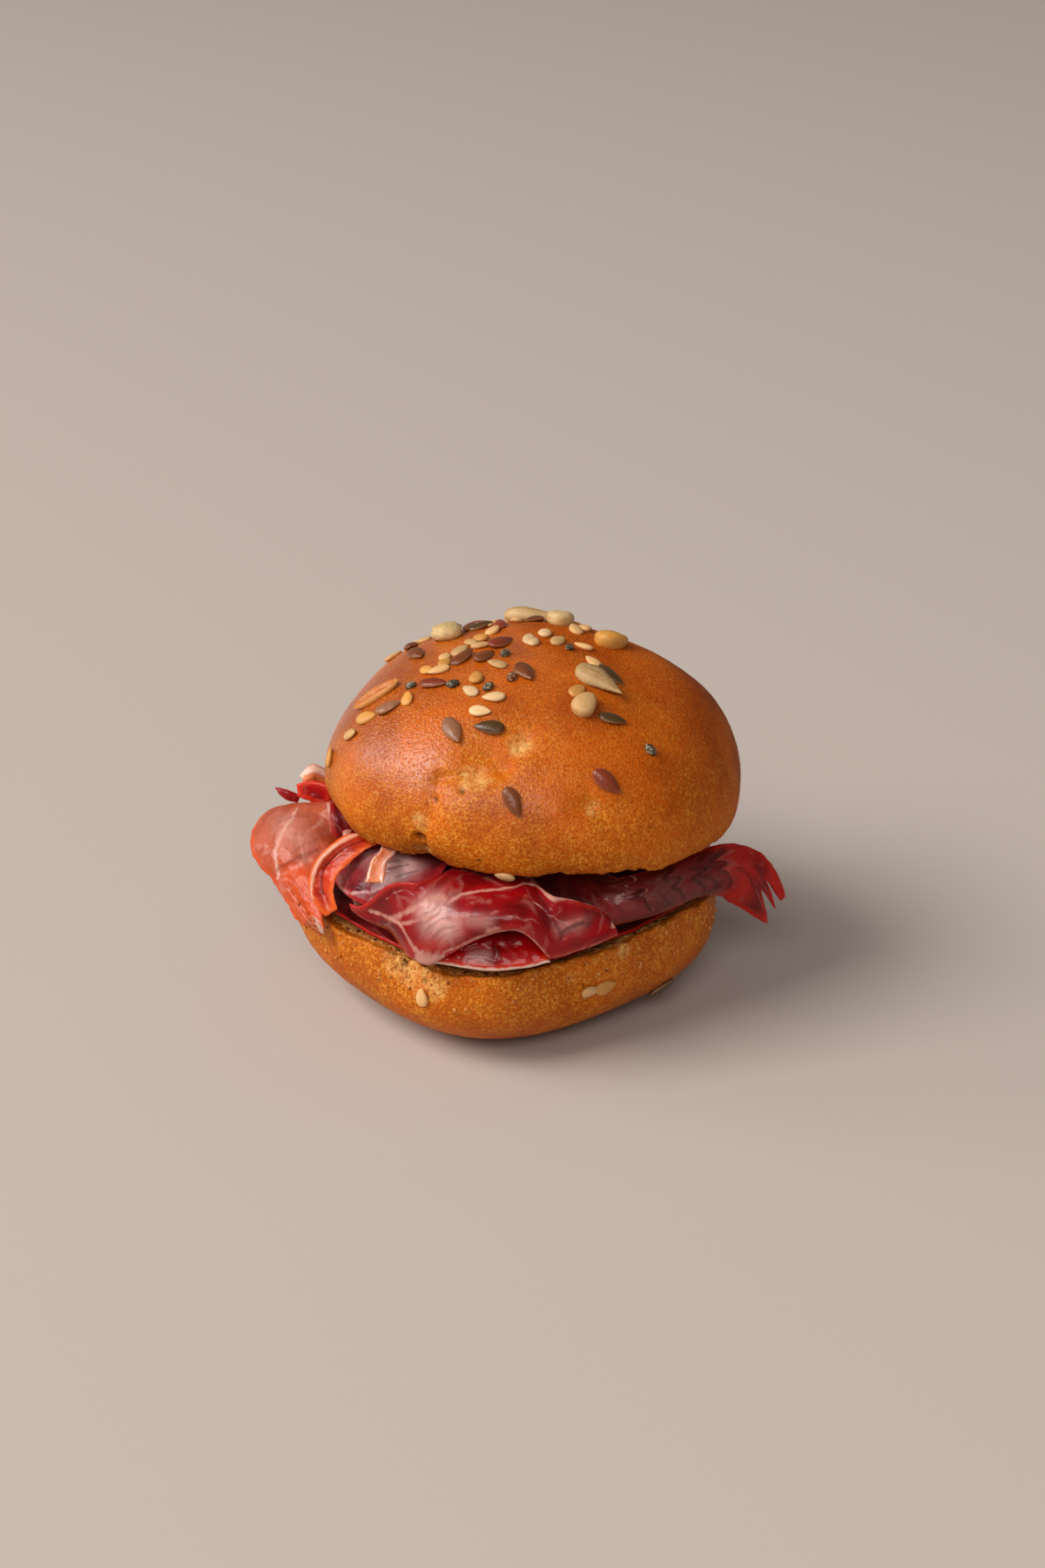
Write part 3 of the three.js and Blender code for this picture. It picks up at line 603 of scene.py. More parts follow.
CRUST_ROUND = 540  # points round a half
CRUMB_RINGS = 28
RIM_RINGS = 14  # rings of the lower half's crust on which crumbs lie
CRUMB_DEPTH = 1.3


def waves(rows, bearing):
    return sum(share * np.cos(count * (bearing - np.radians(at))) for count, share, at in rows)


def turned(degrees, axis):
    """The matrix of a turn about axis 0, 1 or 2."""
    c, s = np.cos(np.radians(degrees)), np.sin(np.radians(degrees))
    i, j = (axis + 1) % 3, (axis + 2) % 3
    matrix = np.eye(3)
    matrix[i, i], matrix[j, j], matrix[i, j], matrix[j, i] = c, c, -s, s
    return matrix


def leaned(half):
    return turned(-half["tilt_back"], 0) @ turned(half["lean_right"], 1)


def placed(half, p):
    """Points of a half, moved and leaned to their place in the sandwich."""
    return p @ leaned(half).T + half["centre"]


def smooth_crust(half, b, h):
    """Points of the smooth crust, towards bearings and height angles in radians."""
    across = np.maximum(np.cos(h), 0) / (half["half_width"] * (1 + waves(half["swells"], b)))
    upright = np.abs(np.sin(h)) / np.where(h >= 0, half["rise"], half["depth"])
    reach = (across ** half["fullness"] + upright ** half["fullness"]) ** (-1 / half["fullness"])
    return reach[..., None] * vector(np.cos(h) * np.cos(b), np.cos(h) * np.sin(b), np.sin(h))


def spot(half, bearing, height):
    return smooth_crust(half, *np.radians([[bearing], [height]]))[0]


def crease_share(half, p, crease):
    """How much a crease presses at points of the smooth crust, from 0 to 1."""
    return bell(to_segment(p, spot(half, *crease[0]), spot(half, *crease[1])) / crease[2])


def crust(half, b, h, rows):
    """Points of the crust, pressed in by rows of creases."""
    p = smooth_crust(half, b, h)
    pressed = sum(crease[3] * crease_share(half, p, crease) for crease in rows)
    return p * (1 - pressed / np.linalg.norm(p, axis=-1))[..., None]


def rim_angle(half, b):
    """The height angle at which the crust meets the cut."""
    cut = half["cut"]
    for at, width, rise in half["rises"]:
        off = b - np.radians(at)
        cut = cut + rise * bell(np.arctan2(np.sin(off), np.cos(off)) / np.radians(width))
    low, high = np.full(b.shape, -np.pi / 2), np.full(b.shape, np.pi / 2)
    for _ in range(30):
        middle = (low + high) / 2
        under = smooth_crust(half, b, middle)[..., 2] < cut
        low, high = np.where(under, middle, low), np.where(under, high, middle)
    return (low + high) / 2


def cut_level(half, rim, share, sink):
    """Height of the torn face inside the rim, sunk into the bread."""
    return half["cut"] + half["inward"] * (half["hollow"] + sink) + (rim[:, 2] - half["cut"]) * share**4


def baked_half(half):
    """The crust of one half of the roll, with tears and pits, closed inside its edge."""
    top, inward = half is CROWN, half["inward"]
    b = np.linspace(0, inward * 2 * np.pi, CRUST_ROUND, endpoint=False)
    share = (np.arange(1, half["rings"] + 1) / half["rings"])[:, None]
    h = mix(inward * np.pi / 2, rim_angle(half, b)[None, :], share**0.9)
    bearings = np.broadcast_to(b, h.shape)
    flat = smooth_crust(half, bearings, h)
    p = crust(half, bearings, h, half["creases"] + half["fine"])
    p[..., :2] *= (1 + share**12 * waves(half["ragged"], b))[..., None]
    from_rim = np.linalg.norm(p - p[-1], axis=-1)
    out = grid_normals(p, True)

    from_spot = lambda at, up: np.linalg.norm(flat - spot(half, at, up), axis=-1)
    tears = sum(bell(from_spot(at, up) / size) for at, up, size in half["tears"])
    torn = np.clip(tears * (1 + 0.9 * noise(flat, 1.3, 5)) - 0.3, 0, 1)
    rim = np.exp(-from_rim / 1.3)
    rise = -0.25 * rim + rim * 0.22 * noise(flat, 1.6, 4)
    rise = rise - torn * (0.12 + 0.4 * np.maximum(noise(flat, 1.0, 7), 0))
    # Each pit is sunk, and the dark mark it leaves in the colour is painted shade.
    dark = np.zeros(h.shape)
    for at, up, radius, depth in half["pits"]:
        pit = bell(from_spot(at, up) * (1 + 0.3 * noise(flat, 0.7, 9)) / radius)
        rise, dark = rise - depth * pit, np.maximum(dark, pit)
    p = p + out * rise[..., None]
    p[..., 2] += np.exp(-from_rim / 0.9) * (0.36 * noise(flat, 1.4, 8) + 0.3 * noise(flat, 4.5, 6))
    floor = -half["centre"][2]
    if not top:
        low = p[..., 2] < floor
        p[low] *= (floor / p[low][:, 2])[:, None]

    narrow = [crease for crease in half["creases"] if crease[2] < 5 and crease[3] > 0]
    pressed = np.clip(sum(crease_share(half, flat, crease) for crease in narrow) + 0.8 * tears, 0, 1)
    height, left = flat[..., 2], np.cos(bearings - np.radians(200))
    if top:
        golden = 0.14 + 0.6 * step(10, -5, height)
        gloss = step(-3, 9, height) * np.clip(0.22 + 0.78 * left, 0, 1)
        # The browner top is darkest on the side away from the main lamp: partly baking, partly painted
        # shade.
        baked = step(2, 14, height) * (0.16 - 0.24 * left)
    else:
        golden = 0.4 + 0.35 * step(-13, -2, height)
        gloss, baked = 0.12 + 0 * height, 0 * height
    golden = golden + 0.45 * pressed + 0.4 * np.exp(-from_rim / 4)
    golden = golden + 0.22 * noise(flat, 6, 3) + 0.12 * noise(flat, 2, 2)
    values = {
        "rough": np.clip(rim + 1.2 * torn + 0.35 * pressed, 0, 1.5),
        "golden": np.clip(golden, 0, 1),
        "gloss": np.clip(gloss * (1 - 0.75 * pressed), 0, 1),
        "baked": np.clip(baked + 0.2 * noise(flat, 5, 12), 0, 1),
        "dark": np.clip(dark, 0, 1) ** 1.5,
        "torn": torn,
    }

    # The crust is closed under the crumb, by rings on the torn face.
    edge = p[-1]
    inner = []
    for part in (0.985, 0.9, 0.6, 0.3):
        ring = edge * part
        ring[:, 2] = mix(edge[:, 2], cut_level(half, edge, part, 0.5), step(1, 0.9, part))
        inner.append(ring)
    grid = np.concatenate([p, np.stack(inner)])
    tips = np.zeros((2, 3))
    tips[:, 2] = half["rise"] if top else floor, half["cut"] + inward * (half["hollow"] + 0.5)
    attributes = {
        key: np.concatenate([v.ravel(), np.tile(v[-1], len(inner)), v[0, :1], v[-1, :1]])
        for key, v in values.items()
    }
    node = half["node"]
    mesh = plain_mesh(node, *closed_rings(placed(half, grid), placed(half, tips)), attributes)
    looks = {"Seed": half["seed"], "Material": baked_crust}
    finish_piece(node + "_crust", mesh, CRUST_SHAPE, "brioche_crust", [node], **looks)
    return p, torn


def torn_face(half, edge):
    """The crumb of one half, a thin slab: its torn face from the middle out, its rim and its back."""
    parts = np.concatenate([np.linspace(0.02, 0.98, CRUMB_RINGS) ** 0.8, [0.985, 0.9, 0.5]])
    sinks = np.concatenate([np.zeros(CRUMB_RINGS), [0.7, CRUMB_DEPTH, CRUMB_DEPTH]])
    inward = half["inward"]
    slab = []
    for part, sink in zip(parts, sinks):
        ring = edge * part
        ring[:, 2] = cut_level(half, edge, part, 0) + inward * sink
        if sink == 0:
            holes = 0.25 * noise(ring, 1.7, 9) - 0.9 * np.maximum(noise(ring, 2.2, 10) - 0.3, 0)
            ring[:, 2] -= inward * (holes + 0.1) * step(1.0, 0.93, part)
        slab.append(ring)
    slab = np.stack(slab)[:, ::-1]
    middle = half["cut"] + inward * half["hollow"]
    tips = np.array([[0, 0, middle], [0, 0, middle + inward * CRUMB_DEPTH]])
    points, faces = closed_rings(placed(half, slab), placed(half, tips))
    node = half["node"]
    mesh = plain_mesh(node, points, faces, {"rough": np.ones(len(points))})
    looks = {"Rough_Height": 0.12, "Grain_Size": 0.9, "Material": torn_crumb}
    finish_piece(node + "_crumb", mesh, CRUST_SHAPE, "brioche_crumb", [node], **looks)


CRUST_SHAPE = crust_shape()
baked_crust, torn_crumb = crust_look(), crumb_look()
crown_crust, _ = baked_half(CROWN)
torn_face(CROWN, crown_crust[-1])
heel_crust, heel_torn = baked_half(HEEL)
torn_face(HEEL, heel_crust[-1])

# Crumbs lie along the lower half's rim, most where it is torn.
band = heel_crust[-RIM_RINGS:]
shed = 0.25 + 0.75 * np.clip(noise(band, 5, 14) * 1.5, 0, 1) + heel_torn[-RIM_RINGS:]
band_faces = grid_faces(RIM_RINGS, CRUST_ROUND, True)
band_mesh = plain_mesh("crumbs", placed(HEEL, band).reshape(-1, 3), [band_faces], {"shed": shed.ravel()})
finish_piece(
    "crumbs", band_mesh, crumbs_shape(), "brioche_crumb", Density=0.7, Largest=0.65, Material=torn_crumb,
)

# ---- the seeds ----

# Length, width and thickness, how much tip and blunt end narrow, how sharp the rim is, ridges and groove.
SEED_KINDS = {
    "sunflower": {"size": (9.8, 5, 2.9), "ends": (1.15, 0.5), "rim": 0.85, "ridges": 9, "groove": 0},
    "kernel": {"size": (5.2, 4.2, 2.9), "ends": (0.62, 0.45), "rim": 0.8, "ridges": 3, "groove": 0.1},
    "oat": {"size": (8.4, 3, 1.7), "ends": (0.6, 0.55), "rim": 0.8, "ridges": 0, "groove": 0.85},
    "flax": {"size": (4.9, 2.6, 1.3), "ends": (0.85, 0.52), "rim": 1.4, "ridges": 0, "groove": 0},
    "sesame": {"size": (3.4, 2.15, 1.0), "ends": (0.8, 0.5), "rim": 1.1, "ridges": 0, "groove": 0.12},
    "chia": {"size": (2, 1.4, 1.2), "ends": (0.55, 0.5), "rim": 1.0, "ridges": 0, "groove": 0},
}
TINTS = {
    "cream": "#d9a86c", "ivory": "#e2ba86", "honey": "#d09040", "beige": "#bb925c", "stone": "#bfa06c",
    "gold": "#d09038", "husk": "#b46420", "brown": "#6e3818", "red": "#84341a", "grey": "#8a5c40",
    "olive": "#523818", "ash": "#48402f", "black": "#40382c",
}
# Each seed has its bearing, height angle, turn from pointing straight down the crust, and tint.
CROWN_SEEDS = {
    "sunflower": [(149, 49, -60, "stone"), (92, 54, -100, "beige"), (-50, 54, 10, "beige")],
    "kernel": [(74, 60, -20, "stone"), (25, 59, 0, "gold"), (-69, 43, 140, "cream")],
    "oat": [(-164, 28, 165, "husk")],
    "flax": [
        (176, 43, 115, "brown"), (123, 49, -120, "red"), (136, 58, -110, "olive"), (-177, 74, -135, "red"),
        (-159, 57, -155, "brown"), (-150, 64, -160, "brown"), (-103, 62, 35, "brown"),
        (-146, 42, 125, "red"), (-109, 33, -80, "olive"), (-121, 29, 50, "grey"), (-151, 28, 160, "grey"),
        (93, 50, 0, "brown"), (-33, 56, 0, "olive"), (-59, 37, 60, "olive"), (-69, 18, 45, "red"),
        (-96, 12, 30, "brown"), (128, 64, -43, "red"),
    ],
    "sesame": [
        (117, 52, 170, "honey"), (128, 44, 65, "cream"), (113, 46, -115, "cream"), (108, 60, -10, "cream"),
        (145, 67, -85, "cream"), (175, 62, -55, "beige"), (-171, 58, -135, "beige"),
        (-175, 66, -175, "cream"), (-161, 51, -125, "honey"), (-155, 47, -10, "cream"),
        (-161, 44, -80, "honey"), (-130, 63, -75, "beige"), (-131, 52, -140, "honey"),
        (-126, 45, -100, "ivory"), (-113, 45, -70, "ivory"), (-115, 38, 105, "ivory"),
        (-148, 33, -130, "honey"), (-156, 22, 135, "honey"), (-157, 16, 120, "cream"),
        (158, 31, -135, "cream"), (151, 36, -130, "cream"), (139, 40, -125, "cream"), (80, 80, 0, "ivory"),
        (157, 85, -70, "ivory"), (68, 52, -85, "honey"), (55, 66, 50, "cream"), (12, 72, 135, "cream"),
        (-26, 66, 165, "cream"), (-68, 51, 130, "honey"), (-97, -11, -95, "ivory"),
        (-163, 7, -155, "honey"), (126, 47, 73, "cream"), (109, 50, -33, "beige"), (166, 65, -46, "honey"),
        (99, 52, -105, "cream"), (-172, 87, -109, "ivory"), (55, 60, 35, "cream"), (26, 82, 33, "beige"),
        (-168, 52, -101, "cream"),
    ],
    "chia": [
        (-140, 71, 25, "ash"), (-110, 57, 0, "brown"), (-154, 37, 155, "ash"), (-137, 45, 155, "black"),
        (-119, 49, 160, "ash"), (-8, 78, 65, "black"), (-51, 25, 20, "black"),
    ],
}
HEEL_SEEDS = {
    "flax": [(-32, -13, 115, "ash")],
    "sesame": [(-111, 0, 180, "cream"), (-64, -2, 90, "cream"), (-59, -2, 100, "honey")],
}
STREWN = 14
SEED_LIFT = 0.26  # how far a seed's middle stands above the crust, as a share of its thickness
SEED_TILT = 7  # degrees
SEED_ROWS, SEED_ROUND = 22, 20


def strewn_seeds():
    """Seeds over the far side of the crown, thinning out away from the top. The draws match the solids'."""
    state = 41
    places = {"flax": [], "sesame": []}
    for i in range(STREWN):
        drawn = []
        for low, high in ((70, 165), (25, 58), (-180, 180)):
            state = (1664525 * state + 1013904223) % 4294967296
            drawn.append(mix(low, high, state / 4294967296))
        kind = "flax" if i % 3 == 0 else "sesame"
        places[kind].append((*drawn, "brown" if kind == "flax" else "cream"))
    return places


def seed_mesh(kind):
    """One seed with its tip towards +X and its middle at the origin."""
    rule = SEED_KINDS[kind]
    t = np.linspace(0, np.pi, SEED_ROWS + 2)[1:-1, None]
    turn = np.linspace(0, 2 * np.pi, SEED_ROUND, endpoint=False)[None]
    x = -np.cos(t)
    taper = lambda at: (1 - at) ** rule["ends"][0] * (1 + at) ** rule["ends"][1]
    wide = taper(x) / taper(np.linspace(-0.99, 0.99, 99)).max()
    side, up = np.cos(turn), np.sign(np.sin(turn)) * np.abs(np.sin(turn)) ** rule["rim"]
    ridged = 1 + (0.06 * np.cos(rule["ridges"] * turn) * np.sin(t) if rule["ridges"] else 0)
    length, width, thick = rule["size"]
    p = vector(x * length / 2, wide * side * width / 2 * ridged, wide**0.8 * up * thick / 2 * ridged)
    groove = rule["groove"] * thick / 2 * bell(side / 0.5) * step(0.95, 0.55, np.abs(x))
    p[..., 2] -= groove * np.maximum(up, 0)
    rim = np.clip(np.abs(side) ** 10 + step(0.82, 1, x) + 0 * t, 0, 1)
    tips = np.array([[-length / 2, 0, 0], [length / 2, 0, 0]])
    points, faces = closed_rings(p, tips)
    attributes = {"own": points, "rim": np.append(rim.ravel(), [0.4, 1])}
    return plain_mesh("seed", points, [f[:, ::-1] for f in faces], attributes)


def on_crust(half, bearing, height, turn, lift):
    """The axes and place of a seed on the crust, before its half is placed."""
    near = 1e-3
    b, h = np.radians([bearing]), np.radians([height])
    rows = half["creases"]
    beside = crust(half, b + near, h, rows) - crust(half, b - near, h, rows)
    down = unit(crust(half, b, h - near, rows) - crust(half, b, h + near, rows))[0]
    out = unit(np.cross(down, beside[0]))
    aside = np.cross(out, down)
    turn = np.radians(turn)
    ahead = down * np.cos(turn) + aside * np.sin(turn)
    return np.stack([ahead, np.cross(out, ahead), out], 1), crust(half, b, h, rows)[0] + out * lift


def seed_piece(kind, material, groups):
    """All seeds of one kind, as one piece."""
    thick, width = SEED_KINDS[kind]["size"][2], SEED_KINDS[kind]["size"][1]
    places, rows = [], {"turned": [], "size": [], "number": [], "tint": []}
    for half, seeds in groups:
        for bearing, height, turn, tint in seeds:
            n = len(places)
            axes, at = on_crust(half, bearing, height, turn, SEED_LIFT * thick)
            tilt = turned(SEED_TILT * np.sin(4.1 * n + 1), 0) @ turned(SEED_TILT * np.sin(2.7 * n), 1)
            places.append(placed(half, at))
            rows["turned"].append(Matrix((leaned(half) @ axes @ tilt).tolist()).to_euler())
            rows["size"].append(1 + 0.09 * np.sin(2.3 * n))
            rows["number"].append(3.7 * n)
            rows["tint"].append(np.array(linear(TINTS[tint])) * (1 + 0.16 * np.sin(5.1 * n + 1)))
    model = bpy.data.objects.new("seed_model", seed_mesh(kind))
    bpy.context.scene.collection.objects.link(model)
    spots = plain_mesh("seed_places", np.array(places), [np.zeros((0, 4), int)], rows)
    uneven = {"Uneven_Size": width * 0.5, "Uneven_Height": 0.09 * thick}
    finish_piece("seeds_" + kind, spots, SEED_SHAPE, "seeds", Shape=model, Material=material, **uneven)
    bpy.data.objects.remove(model)


SEED_SHAPE = seed_shape()
# Hulled sesame, and the broken kernel: pale, plain and matt.
hulled = seed_look("hulled_seed_matt", 0.5, 0.18, 0.25, "#b07c3c", 0.45)
COATS = {
    # A hulled kernel, dry, with fine dark streaks along it and paler ridges.
    "sunflower": seed_look("sunflower_kernel_dry", 0.55, 0.55, 0.2, "#e0c898", 0.35),
    "kernel": hulled,
    # A papery husk, satin, pale along its edges.
    "oat": seed_look("oat_husk_dry", 0.5, 0.4, 0.3, "#e0a85c", 0.75),
    # A smooth brown coat with a glint, and a lighter rim that is a painted highlight.
    "flax": seed_look("flax_seed_coat_glossy", 0.3, 0.35, 0.0, "#a87048", 0.6),
    "sesame": hulled,
    # A smooth dark coat, mottled with grey.
    "chia": seed_look("chia_seed_coat_mottled", 0.35, 0.2, 0.85, "#24201c", 0.2),
}
strewn = strewn_seeds()
for kind, coat in COATS.items():
    on_crown = CROWN_SEEDS[kind] + strewn.get(kind, [])
    seed_piece(kind, coat, [(CROWN, on_crown), (HEEL, HEEL_SEEDS.get(kind, []))])

# ---- the ham ----

HAM = 0.9  # thickness of a slice's solid
GAP = 0.35
HEEL_FACE = HEEL["centre"][2] + HEEL["cut"] - HEEL["hollow"]


def crown_cut(x, y):
    """Height of the crown's cut over a place."""
    cx, cy, cz = CROWN["centre"]
    lean, tilt = np.radians(CROWN["lean_right"]), np.radians(CROWN["tilt_back"])
    return cz + CROWN["cut"] - (x - cx) * np.tan(lean) - (y - cy) * np.tan(tilt)


def under_crown(reach, bearing):
    """Highest that a sheet may lie under the crown's cut, at a reach and bearing."""
    p = around(reach, bearing, 0)
    return crown_cut(p[..., 0], p[..., 1]) - GAP - HAM / 2


def hanging(bearing, v, section):
    """A sheet that comes out of the sandwich and hangs. Its section goes through [reach, height] points."""
    reach, height = ([row[k] for row in section] for k in (0, 1))
    return around(through(reach, v), bearing, through(height, v))


def base_slice(u, v):
    x, y = 2 * u - 1, 2 * v - 1
    bearing = np.arctan2(y, x)
    edge = 30.4 * (1 + waves(HEEL["swells"], bearing) + 0.012 * np.sin(9 * bearing))
    share = np.maximum(np.abs(x), np.abs(y))
    height = HEEL_FACE + GAP + HAM / 2 + 0.4 + 0.35 * share * np.sin(7 * bearing)
    return vector(x * np.sqrt(1 - y * y / 2) * edge, y * np.sqrt(1 - x * x / 2) * edge, height)


def pocket_slice(u, v):
    bearing = mix(-110, -77.5, u)
    lip = 19.1 + 0.25 * np.sin(9 * u) + 0.7 * step(0.8, 1, u)
    return hanging(bearing, v, [[14, 19.2], [24, 20], [30.2, 23.2], [33, 21.6], [34.8, lip]])


def front_slice(u, v):
    bearing = mix(-134, -61, u)
    from_arch = bearing + 88
    arch_share = np.cos(np.minimum(1, np.abs(from_arch) / np.where(from_arch < 0, 20, 9.5)) * np.pi / 2)
    ends = 2 * (1 - step(-136, -124, bearing)) + 0.9 * step(-88, -80, bearing)
    hem = 19.2 + ends + 0.0022 * (bearing + 99) ** 2 + 6.8 * np.maximum(arch_share, 0) ** 1.15
    opened = np.sin(step(-136, -110, bearing) * np.pi / 2)
    past = np.maximum(0, (bearing + 82) / 21) ** 2
    fallen = 1 - np.maximum(1 - past, 0) ** 0.5
    high = mix(hem + 0.8, under_crown(29, bearing) - 0.5, opened * (1 - fallen))
    tucked = step(-113, -103, bearing) * (1 - step(-84, -76, bearing))
    out = mix(33.4, 36.2, step(-134, -106, bearing))
    drawn_in = 4 * bell((bearing + 123) / 7.5)
    return hanging(bearing, v, [
        [mix(33, 21, tucked), high - 0.8 * tucked],
        [mix(33.4, 29.5, tucked), high],
        [mix(33.4, out - 1.4, opened), mix(hem, high, 0.72)],
        [out - 0.4 * drawn_in, mix(hem, high, 0.34)],
        [out - 0.3 - drawn_in, hem],
    ])


def glossy_slice(u, v):
    bearing = mix(-166, -110, u)
    end = step(-113.5, -111, bearing)
    opened = step(-158, -132, bearing)
    lip = 24.6 + 0.4 * np.sin(8 * u)
    return hanging(bearing, v, [
        [12, mix(26, under_crown(12, bearing) + 0.4, opened)],
        [23.5, mix(26.5, under_crown(23, bearing) - 1, opened)],
        [mix(26.5, 28.1, opened), mix(25.6, 28.2, opened)],
        [mix(28.6, 31.7 - 3 * end, opened), mix(22, lip + 3 * end, opened)],
    ])


def ruffled_slice(u, v):
    # Past the end of its solid the slice goes on, further in, and closes the gap behind the left fold.
    first, solid_end, last = -6, 156, 218
    bearing = mix(first, last, u)
    u = (bearing - first) / (solid_end - first)
    outer = 33.4 - 5.6 * step(solid_end, solid_end + 14, bearing)
    reach = mix(9, outer, v) + v * (0.7 * np.sin(29 * u) - 0.5)
    low = HEEL_FACE + 2 * GAP + 1.5 * HAM + 0.8
    high = under_crown(reach, bearing) - 0.2
    wave = np.sin(2 * np.pi * 6.4 * u + 0.8 * np.sin(9 * u)) * step(0.1, 0.85, v)
    return around(reach, bearing, mix(low, high, 0.5 + 0.46 * wave))


def ribbon(stations, u, v):
    """A ribbon along stations. Each has its place, its way across, its width and its curl in degrees."""
    read = lambda part, k, t: through([s[part][k] for s in stations], t)
    place = lambda t: vector(*(read(0, k, t) for k in range(3)))
    along = unit(place(np.minimum(u + 1e-3, 1)) - place(np.maximum(u - 1e-3, 0)))
    across = vector(*(read(1, k, u) for k in range(3)))
    across = unit(across - along * np.sum(along * across, -1, keepdims=True))
    out = np.cross(across, along)
    width = through([s[2] for s in stations], u)
    curl = np.radians(np.maximum(through([s[3] for s in stations], u), 1))
    turn, radius = (v - 0.5) * curl, width / curl
    aside, above = radius * np.sin(turn), radius * (np.cos(turn) - 1)
    return place(u) + across * aside[..., None] + out * above[..., None]


LEFT_FOLD = [
    ([-26, 6, 27.6], [-1, 0, -0.1], 8, 30),
    ([-31.2, 1.6, 28.3], [-1, -0.1, 0], 16, 80),
    ([-33.2, -5.4, 27], [-0.95, 0.1, -0.05], 15.6, 95),
    ([-32, -11.2, 23.3], [-0.9, 0.25, -0.2], 10, 95),
    ([-30.2, -15.8, 19.8], [-0.85, 0.4, -0.3], 6.5, 50),
    ([-27.4, -19.8, 17], [-0.8, 0.5, -0.2], 2, 20),
]
LEFT_RUFFLE = [
    ([-19.6, -14.2, 31.2], [1, -0.5, -0.3], 3.4, 20),
    ([-23.4, -15.8, 30], [1, -0.4, -0.3], 4.4, 30),
    ([-26.6, -16.8, 27.2], [1, -0.4, 0], 5, 50),
    ([-27.4, -18.2, 24], [1, -0.6, -0.1], 5, 40),
    ([-26, -20.2, 21], [0.8, -0.5, 0.3], 3.2, 20),
]
RIGHT_ROLL = [
    ([-8, 4, 24.6], [0.3, -1, 0], 12, 40),
    ([7, -13, 25], [-0.4, -0.6, -0.5], 12.5, 120),
    ([15.4, -25.5, 25.8], [-0.2, -0.4, -0.9], 11.2, 190),
    ([24, -23.5, 25.6], [-0.1, -0.3, -0.9], 11, 190),
    ([32, -15, 24.6], [-0.1, -0.3, -0.9], 10.6, 170),
    ([36.6, -10.2, 22.8], [-0.3, -0.3, -0.9], 10.4, 100),
    ([39.3, -9, 19.8], [-0.6, -0.2, -0.7], 9.6, 50),
    ([42.8, -7.8, 13.2], [-0.85, -0.2, -0.5], 6.4, 20),
]
PALE_STRIP = [
    ([-16.6, -14.5, 31], [1, -0.6, 0], 3.4, 20),
    ([-17.2, -20, 31.3], [1, -0.6, 0], 3, 20),
    ([-18.4, -24.4, 31.6], [1, -0.5, 0], 3.3, 40),
    ([-19, -27.4, 29.8], [1, -0.5, 0], 3.4, 40),
]
PEAK = [
    ([-33, 6.6, 29.2], [0, 0.3, 1], 2.4, 10),
    ([-30.5, 6, 29.4], [0, 0.3, 1], 3.9, 20),
    ([-27, 5.4, 28.6], [0, 0.3, 1], 4, 20),
]
SLIVER = [
    ([-36.6, 8.4, 28.9], [0.3, 0.3, 1], 0.5, 10),
    ([-34.8, 7.4, 28.2], [0.3, 0.3, 1], 1.8, 10),
    ([-32.6, 7.4, 27.2], [0.3, 0.3, 1], 1.4, 10),
]
PALE_CURL = [
    ([-27.5, 11.5, 28.6], [0.2, 1, 0.4], 3, 30),
    ([-30.4, 11, 30.6], [0.2, 1, 0.6], 3.6, 90),
    ([-32.6, 10.4, 29.6], [0.2, 1, 0.6], 3, 90),
]


def right_slice(u, v):
    tip = 0.15 * (np.abs(v - 0.68) / 0.32) ** 1.3 * step(0.34, 0.44, v)
    torn = 0.05 * (1 - step(0.2, 0.5, v)) + 0.08 * bell((v - 0.27) / 0.05) + tip
    return ribbon(RIGHT_ROLL, u * (1 - torn * step(0.6, 1, u)), v)


